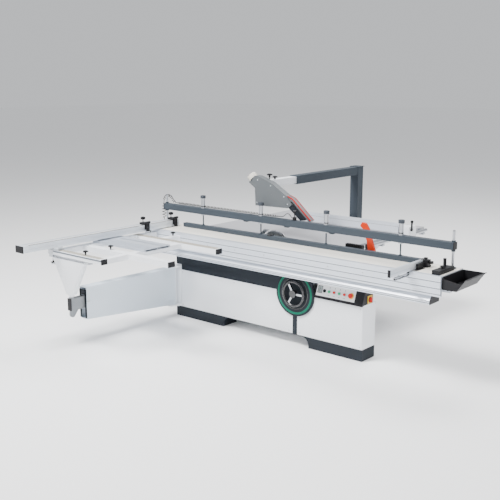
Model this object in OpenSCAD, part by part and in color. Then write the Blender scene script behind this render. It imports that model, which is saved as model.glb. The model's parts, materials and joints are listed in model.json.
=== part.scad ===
// Sliding-table panel saw with scoring unit, outrigger table, swing arm and pressure beam.
// X runs along the sliding table, Y from the front towards the rip side, Z up from the floor.
// The pieces are drawn from the cabinet's front plane; machine() then moves them so that
// the origin lies between the four anchor holes, on the floor.

/* [Cabinet] */
// Length of the front cabinet
cab_w = 2182; // [1900:1:2600]
// Depth of the front cabinet
cab_d = 200; // [150:1:230]
// Height of the dark plinth
plinth_h = 103; // [80:1:130]
// Top edge of the white front covers
cover_top = 478; // [430:1:490]
// Thickness of the front covers
cover_t = 12; // [8:1:20]
// Wall of the sheet-steel bodies
sheet = 5; // [3:1:8]
// Distance between the anchor holes along the machine
anchor_x = 1280; // [1200:1:1290]
// Distance between the anchor holes across the machine
anchor_y = 600; // [520:1:640]
// Distance of the first anchor row behind the front plane
anchor_front = 100; // [80:1:130]
// Diameter of an anchor hole
anchor_d = 18; // [14:1:24]

/* [Tables] */
// Working height of the tables
table_h = 870; // [850:1:900]
// Length of the main and extension tables
table_l = 1685; // [1500:1:1900]
// Left end of the tables
table_x0 = -985; // [-1100:1:-900]
// Depth of the cast main table
main_d = 630; // [560:1:700]
// Depth of the extension table
ext_d = 820; // [700:1:900]
// Thickness of the table rims
rim_t = 40; // [30:1:45]

/* [Sliding table] */
// Length of the sliding carriage
carriage_l = 3240; // [2800:1:3400]
// Width of the sliding carriage
carriage_w = 375; // [340:1:376]
// Height of the carriage section
carriage_h = 159; // [150:1:165]
// Length of the fixed guide beam
guide_l = 3112; // [2800:1:3200]

/* [Saw unit] */
// Radius of the main saw blade
blade_r = 175; // [150:1:175]
// Blade height above the table at rest
blade_up = 76; // [60:1:80]
// Thickness of the main blade
blade_t = 3.2; // [2.6:0.2:4]
// Radius of the scoring blade
scoring_r = 60; // [50:1:62]
// Radius of the arbor shaft
arbor_r = 15; // [12:1:18]

/* [Outrigger] */
// Length of the outrigger frame's inner bars
outrigger_l = 1150; // [1100:1:1250]
// Reach of the outrigger from the carriage
outrigger_reach = 1188; // [1150:1:1300]
// Side of a frame tube
frame_tube = 45; // [35:1:50]
// Length of the crosscut fence
fence_l = 1830; // [1700:1:1950]
// Height of the crosscut fence profile
fence_h = 59; // [50:1:70]
// Width of the crosscut fence profile
fence_w = 104; // [90:1:120]

/* [Swing arm] */
// Reach of the swing arm's outer tube
arm_l = 1085; // [1000:1:1150]
// Width of the swing arm
arm_w = 94; // [80:1:94]

/* [Pressure beam] */
// Length of the pressure beam
beam_l = 3200; // [2800:1:3300]
// Height of the pressure beam section
beam_h = 58; // [50:1:70]
// Distance between two air cylinders
cyl_pitch = 733; // [600:1:760]
// Length of the pressure rail
rail_l = 2700; // [2400:1:2800]

/* [Overhead guard] */
// Top of the guard post
post_top = 1404; // [1380:1:1450]
// Side of the guard post
post_side = 98; // [90:1:150]
// Thickness of the blade hood
hood_t = 70; // [50:1:70]

/* [Handwheel] */
// Radius of the handwheel
wheel_r = 120; // [90:1:130]
// Radius of the round boss on the fascia
boss_r = 204; // [190:1:210]

/* [Hidden] */
$fn = 64;
run_gap = 0.3;

// Colours
white = [0.9, 0.91, 0.94];
dark = [0.22, 0.25, 0.29];
grey_blue = [0.38, 0.42, 0.47];
black = [0.08, 0.08, 0.09];
alu = [0.8, 0.82, 0.86];
steel = [0.62, 0.63, 0.65];
cream = [0.93, 0.92, 0.88];
hood_grey = [0.57, 0.6, 0.62];
red = [0.85, 0.12, 0.08];
green = [0.1, 0.6, 0.35];
orange = [0.9, 0.3, 0.12];

// Cabinet
cab_x = cab_w / 2;
shell_top = 484;
foot_inner_left = -468;
foot_inner_right = 539;
gap_corner_r = 75;
strip_left = 70;
bay_x0 = -420;
bay_x1 = 320;
body_x0 = -640;
body_x1 = 470;
body_back = 900;
body_top = table_h - rim_t;
boss_x = 398;
boss_z = 476;
band_strip_x0 = 369;
band_strip_x1 = 419;
skid_w = 120;

// Sliding table: the guide beam, the roller cages and the carriage share these heights
carriage_y0 = -112;
carriage_y1 = carriage_y0 + carriage_w;
carriage_x1 = 1830;
carriage_x0 = carriage_x1 - carriage_l;
carriage_z0 = table_h - carriage_h;
guide_x0 = -1370;
guide_z0 = 637;
guide_top = 702;
guide_front = -104;
guide_back = 45;
rib_y = [-47, 23];
rib_w = 26;
rib_top = 755;
cage_h = 20;
cage_l = 1300;
roof_z = rib_top + cage_h + 5;

// Tables
table_y0 = carriage_y1 + 12;
table_x1 = table_x0 + table_l;
main_y1 = table_y0 + main_d;
ext_y0 = main_y1 + 2;
ext_y1 = ext_y0 + ext_d;
slot_x0 = -290;
slot_x1 = 280;
insert_y1 = table_y0 + 75;
insert_t = 12;

// Saw unit
blade_x = -58;
blade_y = table_y0 + 15;
blade_z = table_h + blade_up - blade_r;
flange_r = 42;
pulley_y = blade_y + 155;
pulley_w = 26;
motor_z = blade_z - 186;
motor_r = 85;
motor_y0 = blade_y + 200;
motor_l = 220;
arbor_pulley_r = 42;
motor_pulley_r = 52;
belt_t = 5;
scoring_x = 205;
scoring_z = table_h + 2 - scoring_r;
trunnion_r = 320;
trunnion_w = 40;
trunnion_t = 12;
tongue_w = 8;
trunnion_x = [-318, 206];
column_x = [-230, 80];

// Rip fence
rail_x = table_x1 + 42;
rail_z = table_h - 24;
rail_r = 17.5;
rail_y0 = table_y0 + 125;
rail_y1 = ext_y1 - 40;
head_y = 1345;

// Overhead guard
post_x = -195;
post_y0 = 1805;
arm_side_x = 90;
arm_side_z = 82;
arm_y0 = 734;
arm_z = post_top - arm_side_z / 2;
tube_side_x = 72;
tube_side_z = 64;
hood_y = blade_y;
tube_front = hood_y + hood_t / 2;

// Pressure beam
beam_x0 = carriage_x0 - 10 + 5;
beam_y = 190;
beam_w = 60;
beam_z0 = 1022;
cyl_x0 = -887;
rail_top = 910;
rail_x0 = -1137;
end_rod_x = [beam_x0 + 22, beam_x0 + beam_l - 12];

// Outrigger
frame_x0 = -1298;
frame_z1 = 845;
frame_z0 = frame_z1 - frame_tube;
frame_y0 = carriage_y0 - outrigger_reach;
inner_bar_y = -336;
outer_bar_y = -974;
wide_bar = 72;
panel_z1 = table_h - 2;
cross_x = [-1268, -950, -665];
rod_y = frame_y0 + 34;
rod_z = 788;
rod_r = 11;
fence_x = -1258;
fence_z0 = 879;
fence_pivot_y = -20;
fence_y1 = 170;
fence_y0 = fence_y1 - fence_l;

// Swing arm
arm_x = -1105;
hinge_y = -55;
hinge_z0 = 123;
hinge_z1 = 498;
arm_end = hinge_y - arm_l;
arm_top = 510;
arm_wall = 6;
tube_w = 48;
tube_z0 = 322;
tube_z1 = 430;
pivot_y = frame_y0 + 34;
post_z0 = 466;
post_z1 = 772;

// Moves a piece from the front-plane layout to the anchor-hole origin.
module machine() {
    translate([0, -(anchor_front + anchor_y / 2), 0]) children();
}

// Box given by its low and high corners.
module block(low, high) {
    translate(low) cube(high - low);
}

// Hollow box with one wall thickness, open on the sides named in open.
module shell_box(low, high, wall, open = [0, 0, 0], open_low = [0, 0, 0]) {
    difference() {
        block(low, high);
        block([for (i = [0:2]) low[i] + (open_low[i] ? -1 : wall)],
              [for (i = [0:2]) high[i] + (open[i] ? 1 : -wall)]);
    }
}

// Extrudes a section drawn in the Y-Z plane along X.
module along_x(x0, x1) {
    translate([x0, 0, 0]) rotate([90, 0, 90]) linear_extrude(x1 - x0) children();
}

// Extrudes an outline drawn in the X-Z plane along Y.
module along_y(y0, y1) {
    translate([0, y1, 0]) rotate([90, 0, 0]) linear_extrude(y1 - y0) children();
}

// Cylinder along Y between two places.
module round_y(x, z, r, y0, y1) {
    translate([x, y1, z]) rotate([90, 0, 0]) cylinder(r = r, h = y1 - y0);
}

// Cylinder along X between two places.
module round_x(y, z, r, x0, x1) {
    translate([x0, y, z]) rotate([0, 90, 0]) cylinder(r = r, h = x1 - x0);
}

// Square tube along Y.
module tube_y(x0, x1, z0, z1, y0, y1, wall) {
    difference() {
        block([x0, y0, z0], [x1, y1, z1]);
        block([x0 + wall, y0 - 1, z0 + wall], [x1 - wall, y1 + 1, z1 - wall]);
    }
}

// Square tube along X.
module tube_x(y0, y1, z0, z1, x0, x1, wall) {
    difference() {
        block([x0, y0, z0], [x1, y1, z1]);
        block([x0 - 1, y0 + wall, z0 + wall], [x1 + 1, y1 - wall, z1 - wall]);
    }
}

// ---------- Cabinet ----------

module foot(x0, x1) {
    shell_box([x0, 6, 0], [x1, cab_d, plinth_h], 6, open = [0, 1, 0]);
}

module skid(side) {
    x = side * anchor_x / 2;
    shell_box([x - skid_w / 2, cab_d, 0], [x + skid_w / 2, body_back - 60, plinth_h],
              8, open = [0, 1, 0], open_low = [0, 1, 0]);
}

module gap_outline() {
    gap_top = plinth_h - 8;
    w = foot_inner_right - foot_inner_left;
    translate([foot_inner_left, -1]) square([w, gap_top - gap_corner_r + 1]);
    hull() {
        for (x = [foot_inner_left + gap_corner_r, foot_inner_right - gap_corner_r])
            intersection() {
                translate([x, gap_top - gap_corner_r]) circle(gap_corner_r, $fn = 32);
                translate([foot_inner_left, 0]) square([w, gap_top]);
            }
    }
}

module base_frame() {
    color(dark) machine() difference() {
        union() {
            foot(-cab_x, foot_inner_left);
            foot(foot_inner_right, cab_x);
            difference() {
                block([foot_inner_left - 10, 6, 0], [foot_inner_right + 10, 18, plinth_h]);
                along_y(0, 30) gap_outline();
            }
            for (side = [-1, 1]) skid(side);
            // rear cross member under the machine body
            tube_x(body_back - 160, body_back - 80, plinth_h - 60, plinth_h,
                   -anchor_x / 2 + skid_w / 2 - 8, anchor_x / 2 - skid_w / 2 + 8, 5);
        }
        for (side = [-1, 1], y = [anchor_front, anchor_front + anchor_y])
            translate([side * anchor_x / 2, y, -1]) cylinder(d = anchor_d, h = 16);
    }
}

lug_h = 18;

module hinge_lug(z0) {
    hull() {
        translate([arm_x, hinge_y, z0]) cylinder(r = 40, h = lug_h, $fn = 32);
        block([arm_x - 30, 10, z0], [-cab_x + strip_left - 5, 14, z0 + lug_h]);
    }
}

module cabinet_shell() {
    color(white) machine() {
        shell_box([-cab_x, cover_t, plinth_h], [bay_x0, cab_d, shell_top], sheet);
        shell_box([bay_x1, cover_t, plinth_h], [cab_x, cab_d, shell_top], sheet);
        block([bay_x0, cover_t, plinth_h], [bay_x1, cab_d, plinth_h + sheet]);
        // strip beside the left cover and the swing arm's hinge
        block([-cab_x, 0, plinth_h], [-cab_x + strip_left, cover_t, cover_top]);
        hinge_lug(hinge_z0 - lug_h - 0.5);
        hinge_lug(hinge_z1 + 0.5);
        translate([arm_x, hinge_y, hinge_z0 - lug_h - 0.5])
            cylinder(r = 14, h = hinge_z1 - hinge_z0 + 2 * lug_h + 1);
        // pedestals under the guide beam
        shell_box([-cab_x + 5, cover_t, shell_top], [bay_x0 - 60, cab_d - 10, guide_z0], sheet);
        shell_box([bay_x1 + 40, cover_t, shell_top], [570, cab_d - 10, guide_z0], sheet);
    }
}

module rear_body() {
    color(white) machine() {
        block([body_x0, cab_d, plinth_h], [body_x1, body_back, plinth_h + sheet]);
        block([body_x0, cab_d, plinth_h + sheet], [body_x0 + sheet, body_back, body_top]);
        block([body_x1 - sheet, cab_d, plinth_h + sheet], [body_x1, body_back, body_top]);
        difference() {
            block([body_x0 + sheet, body_back - sheet, plinth_h + sheet],
                  [body_x1 - sheet, body_back, body_top]);
            round_y(blade_x, 260, 60, body_back - 20, body_back + 20);
        }
        // dust outlet
        difference() {
            round_y(blade_x, 260, 65, body_back - sheet, body_back + 60);
            round_y(blade_x, 260, 60, body_back - sheet - 1, body_back + 61);
        }
        for (x = [[body_x0, bay_x0], [bay_x1, body_x1]])
            block([x[0], cab_d, shell_top], [x[1], cab_d + sheet, body_top]);
    }
}

module cover_plate(x0, x1, round_right) {
    r = 10;
    block([x0, 0, plinth_h + 1], [x1 - (round_right ? r : 0), cover_t, cover_top - 1]);
    if (round_right) intersection() {
        translate([x1 - r, r, plinth_h + 1]) cylinder(r = r, h = cover_top - plinth_h - 2);
        block([x1 - r, 0, 0], [x1 + 1, cover_t, cover_top]);
    }
}

module left_front_cover() {
    color(white) machine() difference() {
        cover_plate(-cab_x + strip_left + 4, band_strip_x0 - 1, false);
        round_y(boss_x, boss_z, boss_r + 1, -1, cover_t + 1);
    }
}

module right_front_cover() {
    color(white) machine() difference() {
        cover_plate(band_strip_x1 + 1, cab_x, true);
        round_y(boss_x, boss_z, boss_r + 1, -1, cover_t + 1);
    }
}

module fascia() {
    color(dark) machine() difference() {
        union() {
            difference() {
                block([-cab_x + 13, 0, cover_top], [cab_x - 505, cover_t, guide_z0 - 1]);
                block([-cab_x, -1, cover_top - 1], [-1010, cover_t + 1, hinge_z1 + 34]);
            }
            block([band_strip_x0, 0, plinth_h + 1], [band_strip_x1, cover_t, boss_z - 100]);
            intersection() {
                round_y(boss_x, boss_z, boss_r, -14, cover_t);
                block([0, -20, 0], [800, 20, guide_z0 - 2]);
            }
        }
        // dished well and bearing hole of the handwheel
        round_y(boss_x, boss_z, wheel_r + 14, -15, -2);
        round_y(boss_x, boss_z, 12.05, -30, cover_t + 1);
    }
}

module control_outline() {
    polygon([[-14, 479], [46, guide_z0 - 3], [154, guide_z0 - 3], [154, shell_top], [12, shell_top],
             [-0.5, cover_top + 1], [-14, cover_top + 1]]);
}

panel_lean = 90 - atan(60 / 155);
panel_len = 166;

// Puts a piece on the sloping control face, u along X and s up the face.
module on_panel(u, s) {
    translate([u, -14 + s * cos(panel_lean), 479 + s * sin(panel_lean)])
        rotate([panel_lean, 0, 0]) children();
}

button_x = [748, 800, 852, 904];
button_r = 11;
emergency_x = 968;
selector_x = 700;
panel_mid = 72;
switch_z = 521;
switch_y = 104;

module control_housing() {
    color(black) machine() difference() {
        along_x(588, cab_x) control_outline();
        round_y(boss_x, boss_z, boss_r + 1, -20, cover_t + 5);
        for (u = concat(button_x, [emergency_x, selector_x]))
            on_panel(u, panel_mid) translate([0, 0, -30]) cylinder(r = 7.05, h = 60);
        translate([cab_x - 25, switch_y, switch_z]) rotate([0, 90, 0]) cylinder(r = 8.05, h = 60);
    }
}

module push_button(x, tint) {
    color(tint) machine() on_panel(x, panel_mid) {
        translate([0, 0, 5]) cylinder(r = button_r, h = 8);
        translate([0, 0, -20]) cylinder(r = 7, h = 26);
    }
}

module start_button() { push_button(button_x[0], green); }
module stop_button() { push_button(button_x[1], red); }
module scoring_start_button() { push_button(button_x[2], green); }
module scoring_stop_button() { push_button(button_x[3], red); }

module emergency_button() {
    color(red) machine() on_panel(emergency_x, panel_mid) {
        translate([0, 0, -20]) cylinder(r = 7, h = 32);
        translate([0, 0, 9]) cylinder(r = 20, h = 12);
    }
}

module selector_knob() {
    color(black) machine() on_panel(selector_x, panel_mid) {
        translate([0, 0, -20]) cylinder(r = 7, h = 22);
        translate([0, 0, 0.3]) cylinder(r = 14, h = 8);
        translate([-4, -13, 8]) cube([8, 26, 9]);
    }
}

module main_switch() {
    color(red) machine() translate([cab_x - 20, switch_y, switch_z]) rotate([0, 90, 0]) {
        cylinder(r = 8, h = 26);
        translate([0, 0, 20.3]) cylinder(r = 22, h = 12);
        translate([-21, -6, 32]) cube([42, 12, 12]);
    }
}

module spoke(a) {
    rotate([0, a, 0]) translate([-11, -7, 0]) cube([22, 14, wheel_r - 6]);
}

module handwheel() {
    color(black) machine() translate([boss_x, -30, boss_z]) {
        rotate([90, 0, 0]) rotate_extrude() translate([wheel_r - 12, 0]) circle(12);
        for (a = [90, 210, 330]) spoke(a);
        rotate([90, 0, 0]) translate([0, 0, -10]) cylinder(r = 34, h = 28);
        rotate([-90, 0, 0]) cylinder(r = 12, h = 41);
    }
}

// ---------- Guide beam and carriage ----------

module guide_section() {
    polygon([[guide_front, guide_z0], [guide_front, guide_z0 + 31], [guide_front + 32, guide_top],
             [guide_back, guide_top], [guide_back, guide_z0]]);
}

module guide_beam() {
    color(white) machine() {
        along_x(guide_x0, guide_x0 + guide_l) {
            difference() {
                guide_section();
                translate([guide_front + 14, guide_z0 + 10]) square([118, 20]);
                translate([guide_front + 40, guide_z0 + 38]) square([98, 18]);
            }
            for (y = rib_y) translate([y - rib_w / 2, guide_top - 1]) square([rib_w, rib_top - guide_top + 1]);
        }
    }
}

roller_w = 14;
roller_pitch = 230;

module roller_cages() {
    first = 200 - cage_l / 2 + 75;
    color(steel) machine() for (y = rib_y) {
        difference() {
            block([200 - cage_l / 2, y - rib_w / 2 + 1, rib_top + 5],
                  [200 + cage_l / 2, y + rib_w / 2 - 1, rib_top + cage_h - 5]);
            for (i = [0:5]) round_y(first + i * roller_pitch, rib_top + cage_h / 2, cage_h / 2 + 1,
                                    y - roller_w / 2 - run_gap, y + roller_w / 2 + run_gap);
        }
        for (i = [0:5]) {
            round_y(first + i * roller_pitch, rib_top + cage_h / 2, cage_h / 2 - run_gap,
                    y - roller_w / 2, y + roller_w / 2);
            round_y(first + i * roller_pitch, rib_top + cage_h / 2, 2, y - 10, y + 10);
        }
    }
}

module carriage_section() {
    difference() {
        polygon([[carriage_y0, carriage_z0], [carriage_y0, table_h], [carriage_y1, table_h],
                 [carriage_y1, table_h - 12], [carriage_y1 - 38, table_h - 12], [78, carriage_z0],
                 [52, carriage_z0], [52, roof_z], [-78, roof_z], [-78, carriage_z0]]);
        // side grooves and the slot on top
        for (z = [728, 773, 824]) translate([carriage_y0 - 1, z - 3]) square([5, 6]);
        translate([-90, table_h - 10]) square([10, 11]);
        translate([-97, table_h - 16]) square([24, 7]);
        translate([-60, roof_z + 12]) square([150, 66]);
        polygon([[100, table_h - 12], [100, 746], [212, table_h - 12]]);
        translate([carriage_y0 + 9, carriage_z0 + 8]) square([18, 130]);
    }
    for (y = rib_y) translate([y - rib_w / 2, rib_top + cage_h]) square([rib_w, 8]);
}

module carriage() {
    color(cream) machine() along_x(carriage_x0, carriage_x1) carriage_section();
}

// ---------- Tables ----------

module main_table() {
    color(cream) machine() difference() {
        block([table_x0, table_y0, table_h - rim_t], [table_x1, main_y1, table_h]);
        // ribbed underside
        for (i = [0:4], j = [0:1]) {
            x = table_x0 + 20 + i * 118;
            if (x + 100 < slot_x0 - 10)
                block([x, table_y0 + 20 + j * 290, table_h - rim_t - 1],
                      [x + 100, table_y0 + 290 + j * 290, table_h - 12]);
        }
        for (j = [0:1]) block([slot_x1 + 20, table_y0 + 20 + j * 290, table_h - rim_t - 1],
                              [table_x1 - 20, table_y0 + 290 + j * 290, table_h - 12]);
        block([slot_x0, table_y0 - 1, table_h - rim_t - 1], [slot_x1, insert_y1, table_h + 1]);
    }
}

module table_insert() {
    color(steel) machine() {
        block([slot_x0, blade_y + 4, table_h - insert_t], [slot_x1, insert_y1, table_h]);
        for (x = [slot_x0, slot_x1 - 30])
            block([x, insert_y1 - 20, table_h - rim_t], [x + 30, insert_y1, table_h - insert_t]);
    }
}

module extension_table() {
    color(cream) machine() difference() {
        block([table_x0, ext_y0, table_h - rim_t], [table_x1, ext_y1, table_h]);
        block([table_x0 + 4, ext_y0 + 4, table_h - rim_t - 1], [table_x1 - 4, ext_y1 - 4, table_h - 5]);
    }
    color(cream) machine() for (x = [table_x0 + 400, table_x1 - 400])
        block([x, ext_y0 + 4, table_h - rim_t], [x + 30, ext_y1 - 4, table_h - 5]);
}

module strut(x) {
    hull() {
        block([x - 15, body_back, 330], [x + 15, body_back + 6, 372]);
        block([x - 15, ext_y1 - 120, table_h - rim_t - 6], [x + 15, ext_y1 - 70, table_h - rim_t]);
    }
}

module table_struts() {
    color(white) machine() {
        for (x = [-520, 350]) strut(x);
        for (x = [-520, 350])
            block([x - 40, body_back, 310], [x + 40, body_back + 6, 400]);
    }
}

// ---------- Saw unit ----------

// Sector of a ring about the tilt axis, in the Y-Z plane, from angle a0 over da.
module ring_sector(r0, r1, a0, da) {
    reach = 2 * r1;
    translate([blade_y, table_h]) intersection() {
        difference() {
            circle(r1);
            circle(r0);
        }
        polygon([[0, 0], reach * [cos(a0), sin(a0)], reach * [cos(a0 + da / 2), sin(a0 + da / 2)],
                 reach * [cos(a0 + da), sin(a0 + da)]]);
    }
}

module trunnions() {
    color(dark) machine() for (x = trunnion_x) along_x(x, x + trunnion_t) {
        difference() {
            ring_sector(trunnion_r - trunnion_w / 2, trunnion_r + trunnion_w / 2, -118, 98);
            ring_sector(trunnion_r - tongue_w / 2 - run_gap, trunnion_r + tongue_w / 2 + run_gap, -113, 70);
        }
        translate([blade_y + 283, blade_z - 24]) square([47, body_top - blade_z + 24]);
    }
}

tilt_x0 = trunnion_x[0] + trunnion_t + run_gap;
tilt_x1 = trunnion_x[1] - run_gap;

module end_plate(x) {
    along_x(x, x + 10) polygon([[blade_y + 50, 500], [blade_y + 210, 500], [blade_y + 210, 640],
                                [blade_y + 130, 780], [blade_y + 50, 780]]);
}

module tilt_frame() {
    color(dark) machine() {
        end_plate(tilt_x0);
        end_plate(tilt_x1 - 10);
        for (x = [tilt_x0 - trunnion_t - run_gap + 1, tilt_x1 - 1]) along_x(x, x + trunnion_t)
            ring_sector(trunnion_r - tongue_w / 2, trunnion_r + tongue_w / 2, -66, 20);
        // cross tubes and the two rise columns
        block([tilt_x0 + 10, blade_y + 60, 505], [tilt_x1 - 10, blade_y + 84, 529]);
        block([tilt_x0 + 10, blade_y + 60, 735], [column_x[0] + 16, blade_y + 84, 759]);
        block([column_x[1] - 16, blade_y + 60, 735], [tilt_x1 - 10, blade_y + 84, 759]);
        for (x = column_x) translate([x, blade_y + 72, 529]) cylinder(r = 12, h = 206);
    }
}

module arbor_carrier() {
    color(grey_blue) machine() difference() {
        union() {
            for (x = column_x) translate([x, blade_y + 72, 640]) cylinder(r = 24, h = 70);
            block([column_x[0], blade_y + 62, 650], [column_x[1], blade_y + 82, 700]);
            block([blade_x - 34, blade_y + 62, 650], [blade_x + 34, blade_y + 82, blade_z]);
            round_y(blade_x, blade_z, 38, blade_y + 20, blade_y + 140);
            // motor plate
            block([blade_x - 60, blade_y + 82, 650], [blade_x + 60, blade_y + 92, 700]);
            block([blade_x - 110, blade_y + 185, motor_z - 60], [blade_x + 110, blade_y + 197, 700]);
            for (x = [blade_x - 110, blade_x + 90])
                block([x, blade_y + 62, 672], [x + 20, blade_y + 185, 700]);
        }
        for (x = column_x) translate([x, blade_y + 72, 600]) cylinder(r = 12.06, h = 160);
        round_y(blade_x, blade_z, arbor_r + 0.05, blade_y, blade_y + 150);
        round_y(blade_x, motor_z, 28, blade_y + 180, blade_y + 200);
    }
}

module main_motor() {
    color(grey_blue) machine() difference() {
        union() {
            round_y(blade_x, motor_z, motor_r, motor_y0 - 3, motor_y0 + motor_l - 3);
            block([blade_x - 50, motor_y0 + 40, motor_z + 70],
                  [blade_x + 50, motor_y0 + 140, motor_z + motor_r + 22]);
            for (i = [0:7]) rotate_about_motor(i * 45 + 22.5)
                block([-4, motor_y0 + 30, motor_r - 4], [4, motor_y0 + 180, motor_r + 5]);
        }
        round_y(blade_x, motor_z, 14.05, motor_y0 - 10, motor_y0 + 60);
    }
}

module rotate_about_motor(a) {
    translate([blade_x, 0, motor_z]) rotate([0, a, 0]) children();
}

module riving_knife() {
    color(steel) machine() {
        along_y(blade_y - 1.4, blade_y + 1.4) difference() {
            translate([blade_x, blade_z]) circle(blade_r + 42);
            translate([blade_x, blade_z]) circle(blade_r + 8);
            translate([blade_x - 60, 300]) square([400, 800]);
            translate([-400, 300]) square([400, 400]);
            translate([-400, table_h + blade_up - 6]) square([800, 200]);
        }
        // foot bolted to the arbor carrier's column sleeve
        block([-262, blade_y - 1.4, 672], [-240, blade_y + 1.4, 722]);
        block([-262, blade_y - 1.4, 672], [-232, blade_y + 47.8, 700]);
    }
}

module arbor() {
    color(steel) machine() {
        round_y(blade_x, blade_z, arbor_r, blade_y - 8, pulley_y + pulley_w / 2 + 6);
        round_y(blade_x, blade_z, flange_r, blade_y + blade_t / 2, blade_y + 14);
        translate([blade_x, blade_y - blade_t / 2, blade_z]) rotate([90, 0, 0])
            cylinder(r = 24, h = 12, $fn = 6);
        round_y(blade_x, blade_z, arbor_pulley_r, pulley_y - pulley_w / 2, pulley_y + pulley_w / 2);
    }
}

module tooth(a) {
    rotate([0, a, 0]) translate([blade_r - 12, -blade_t / 2 - 0.2, -3]) cube([12, blade_t + 0.4, 6]);
}

module main_blade() {
    color(steel) machine() translate([blade_x, blade_y, blade_z]) difference() {
        union() {
            rotate([90, 0, 0]) translate([0, 0, -blade_t / 2]) cylinder(r = blade_r - 6, h = blade_t);
            for (i = [0:23]) tooth(i * 15);
        }
        rotate([90, 0, 0]) translate([0, 0, -10]) cylinder(r = arbor_r, h = 20);
    }
}

module motor_pulley() {
    color(steel) machine() {
        round_y(blade_x, motor_z, motor_pulley_r, pulley_y - pulley_w / 2, pulley_y + pulley_w / 2);
        round_y(blade_x, motor_z, 14, pulley_y + pulley_w / 2, motor_y0 + 50);
    }
}

module belt_loop(grow) {
    hull() {
        translate([blade_x, blade_z]) circle(arbor_pulley_r + grow);
        translate([blade_x, motor_z]) circle(motor_pulley_r + grow);
    }
}

module drive_belt() {
    color(black) machine() along_y(pulley_y - 9, pulley_y + 9) difference() {
        belt_loop(belt_t + run_gap);
        belt_loop(run_gap);
    }
}

module scoring_unit() {
    color(grey_blue) machine() difference() {
        union() {
            along_y(blade_y + 16, blade_y + 22) hull() {
                translate([scoring_x, scoring_z - 4]) circle(18);
                translate([tilt_x1 - 50, 620]) circle(30);
            }
            round_y(tilt_x1 - 50, 620, 36, blade_y + 22, blade_y + 110);
            block([tilt_x1 - 60, blade_y + 52, 600], [tilt_x1 - 10, blade_y + 80, 640]);
        }
        round_y(scoring_x, scoring_z, 8.05, blade_y, blade_y + 40);
    }
}

module scoring_blade() {
    color(steel) machine() {
        round_y(scoring_x, scoring_z, scoring_r, blade_y - 1.6, blade_y + 1.6);
        round_y(scoring_x, scoring_z, 20, blade_y + 1.6, blade_y + 12);
        round_y(scoring_x, scoring_z, 8, blade_y - 6, blade_y + 30);
    }
}

// ---------- Rip side ----------

bracket_y = [rail_y0 + 40, (rail_y0 + rail_y1) / 2 - 180, rail_y1 - 60];

module rip_rail() {
    color(steel) machine() {
        round_y(rail_x, rail_z, rail_r, rail_y0, rail_y1);
        for (y = bracket_y) {
            block([table_x1, y - 20, rail_z - rail_r - 18], [table_x1 + 10, y + 20, table_h - 4]);
            block([table_x1, y - 20, rail_z - rail_r - 18], [rail_x + 12, y + 20, rail_z - rail_r]);
            block([rail_x - 6, y - 20, rail_z - rail_r], [rail_x + 6, y + 20, rail_z - rail_r + 4]);
        }
    }
}

module rip_head() {
    color(white) machine() difference() {
        union() {
            block([rail_x - 28, head_y - 72, rail_z - rail_r + 1.5],
                  [rail_x + 38, head_y + 72, table_h + 62]);
            block([rail_x - 150, head_y - 60, table_h + 1], [rail_x - 28, head_y + 60, table_h + 60]);
        }
        round_y(rail_x, rail_z, rail_r + 0.08, head_y - 80, head_y + 80);
        block([rail_x - rail_r - 0.3, head_y - 80, rail_z - 40],
              [rail_x + rail_r + 0.3, head_y + 80, rail_z]);
        round_x(head_y - 30, table_h + 34, 6.05, rail_x + 10, rail_x + 60);
    }
}

module rip_fence() {
    fence_face = head_y - 60 - 42;
    color(alu) machine() difference() {
        block([-420, fence_face, table_h + 2], [rail_x - 60, head_y - 60, table_h + 92]);
        block([-421, fence_face + 4, table_h + 6], [rail_x - 59, head_y - 64, table_h + 60]);
        block([-421, fence_face + 14, table_h + 66], [rail_x - 59, head_y - 74, table_h + 86]);
        block([-421, head_y - 66, table_h + 64], [rail_x - 59, head_y - 59, table_h + 74]);
    }
}

module rip_lever() {
    color(black) machine() {
        round_x(head_y - 30, table_h + 34, 6, rail_x + 15, rail_x + 50);
        round_x(head_y - 30, table_h + 34, 14, rail_x + 38.5, rail_x + 52);
        block([rail_x + 40, head_y - 38, table_h + 34], [rail_x + 52, head_y - 22, table_h + 110]);
        translate([rail_x + 46, head_y - 30, table_h + 112]) sphere(15);
    }
}

stick_y = 330;
stick_t = 24;

module stick_holder() {
    color(black) machine() {
        // bracket on the table's corner and the ribbed hand rest it carries
        block([table_x1, stick_y - 18, table_h - rim_t + 4], [table_x1 + 8, stick_y + 18, table_h - 2]);
        block([table_x1, stick_y - 18, table_h - 2], [table_x1 + 222, stick_y + 18, table_h + 8]);
        difference() {
            block([table_x1, stick_y - 20, table_h + 8], [table_x1 + 168, stick_y + 20, table_h + 44]);
            for (i = [0:6]) block([table_x1 + 12 + i * 22, stick_y - 21, table_h + 36],
                                  [table_x1 + 20 + i * 22, stick_y + 21, table_h + 45]);
        }
        // clip that the push stick stands in
        block([table_x1 + 200, stick_y - 16, table_h + 8], [table_x1 + 206, stick_y + 16, table_h + 60]);
        block([table_x1 + 206, stick_y - 18, table_h - 56], [table_x1 + 222, stick_y + 18, table_h + 8]);
        block([table_x1 + 222, stick_y - 18, table_h - 56], [table_x1 + 292, stick_y + 18, table_h - 48.5]);
        block([table_x1 + 292, stick_y - 18, table_h - 56], [table_x1 + 298, stick_y + 18, table_h - 20]);
    }
}

module push_stick() {
    color(orange) machine() along_y(stick_y - stick_t / 2, stick_y + stick_t / 2) polygon([
        [table_x1 + 222.5, table_h - 48], [table_x1 + 290, table_h - 48], [table_x1 + 291, table_h + 14],
        [table_x1 + 262, table_h + 90], [table_x1 + 224, table_h + 198], [table_x1 + 196, table_h + 240],
        [table_x1 + 158, table_h + 246], [table_x1 + 141, table_h + 216], [table_x1 + 168, table_h + 190],
        [table_x1 + 210, table_h + 92], [table_x1 + 222.5, table_h + 20]]);
}

// ---------- Overhead guard ----------

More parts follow.
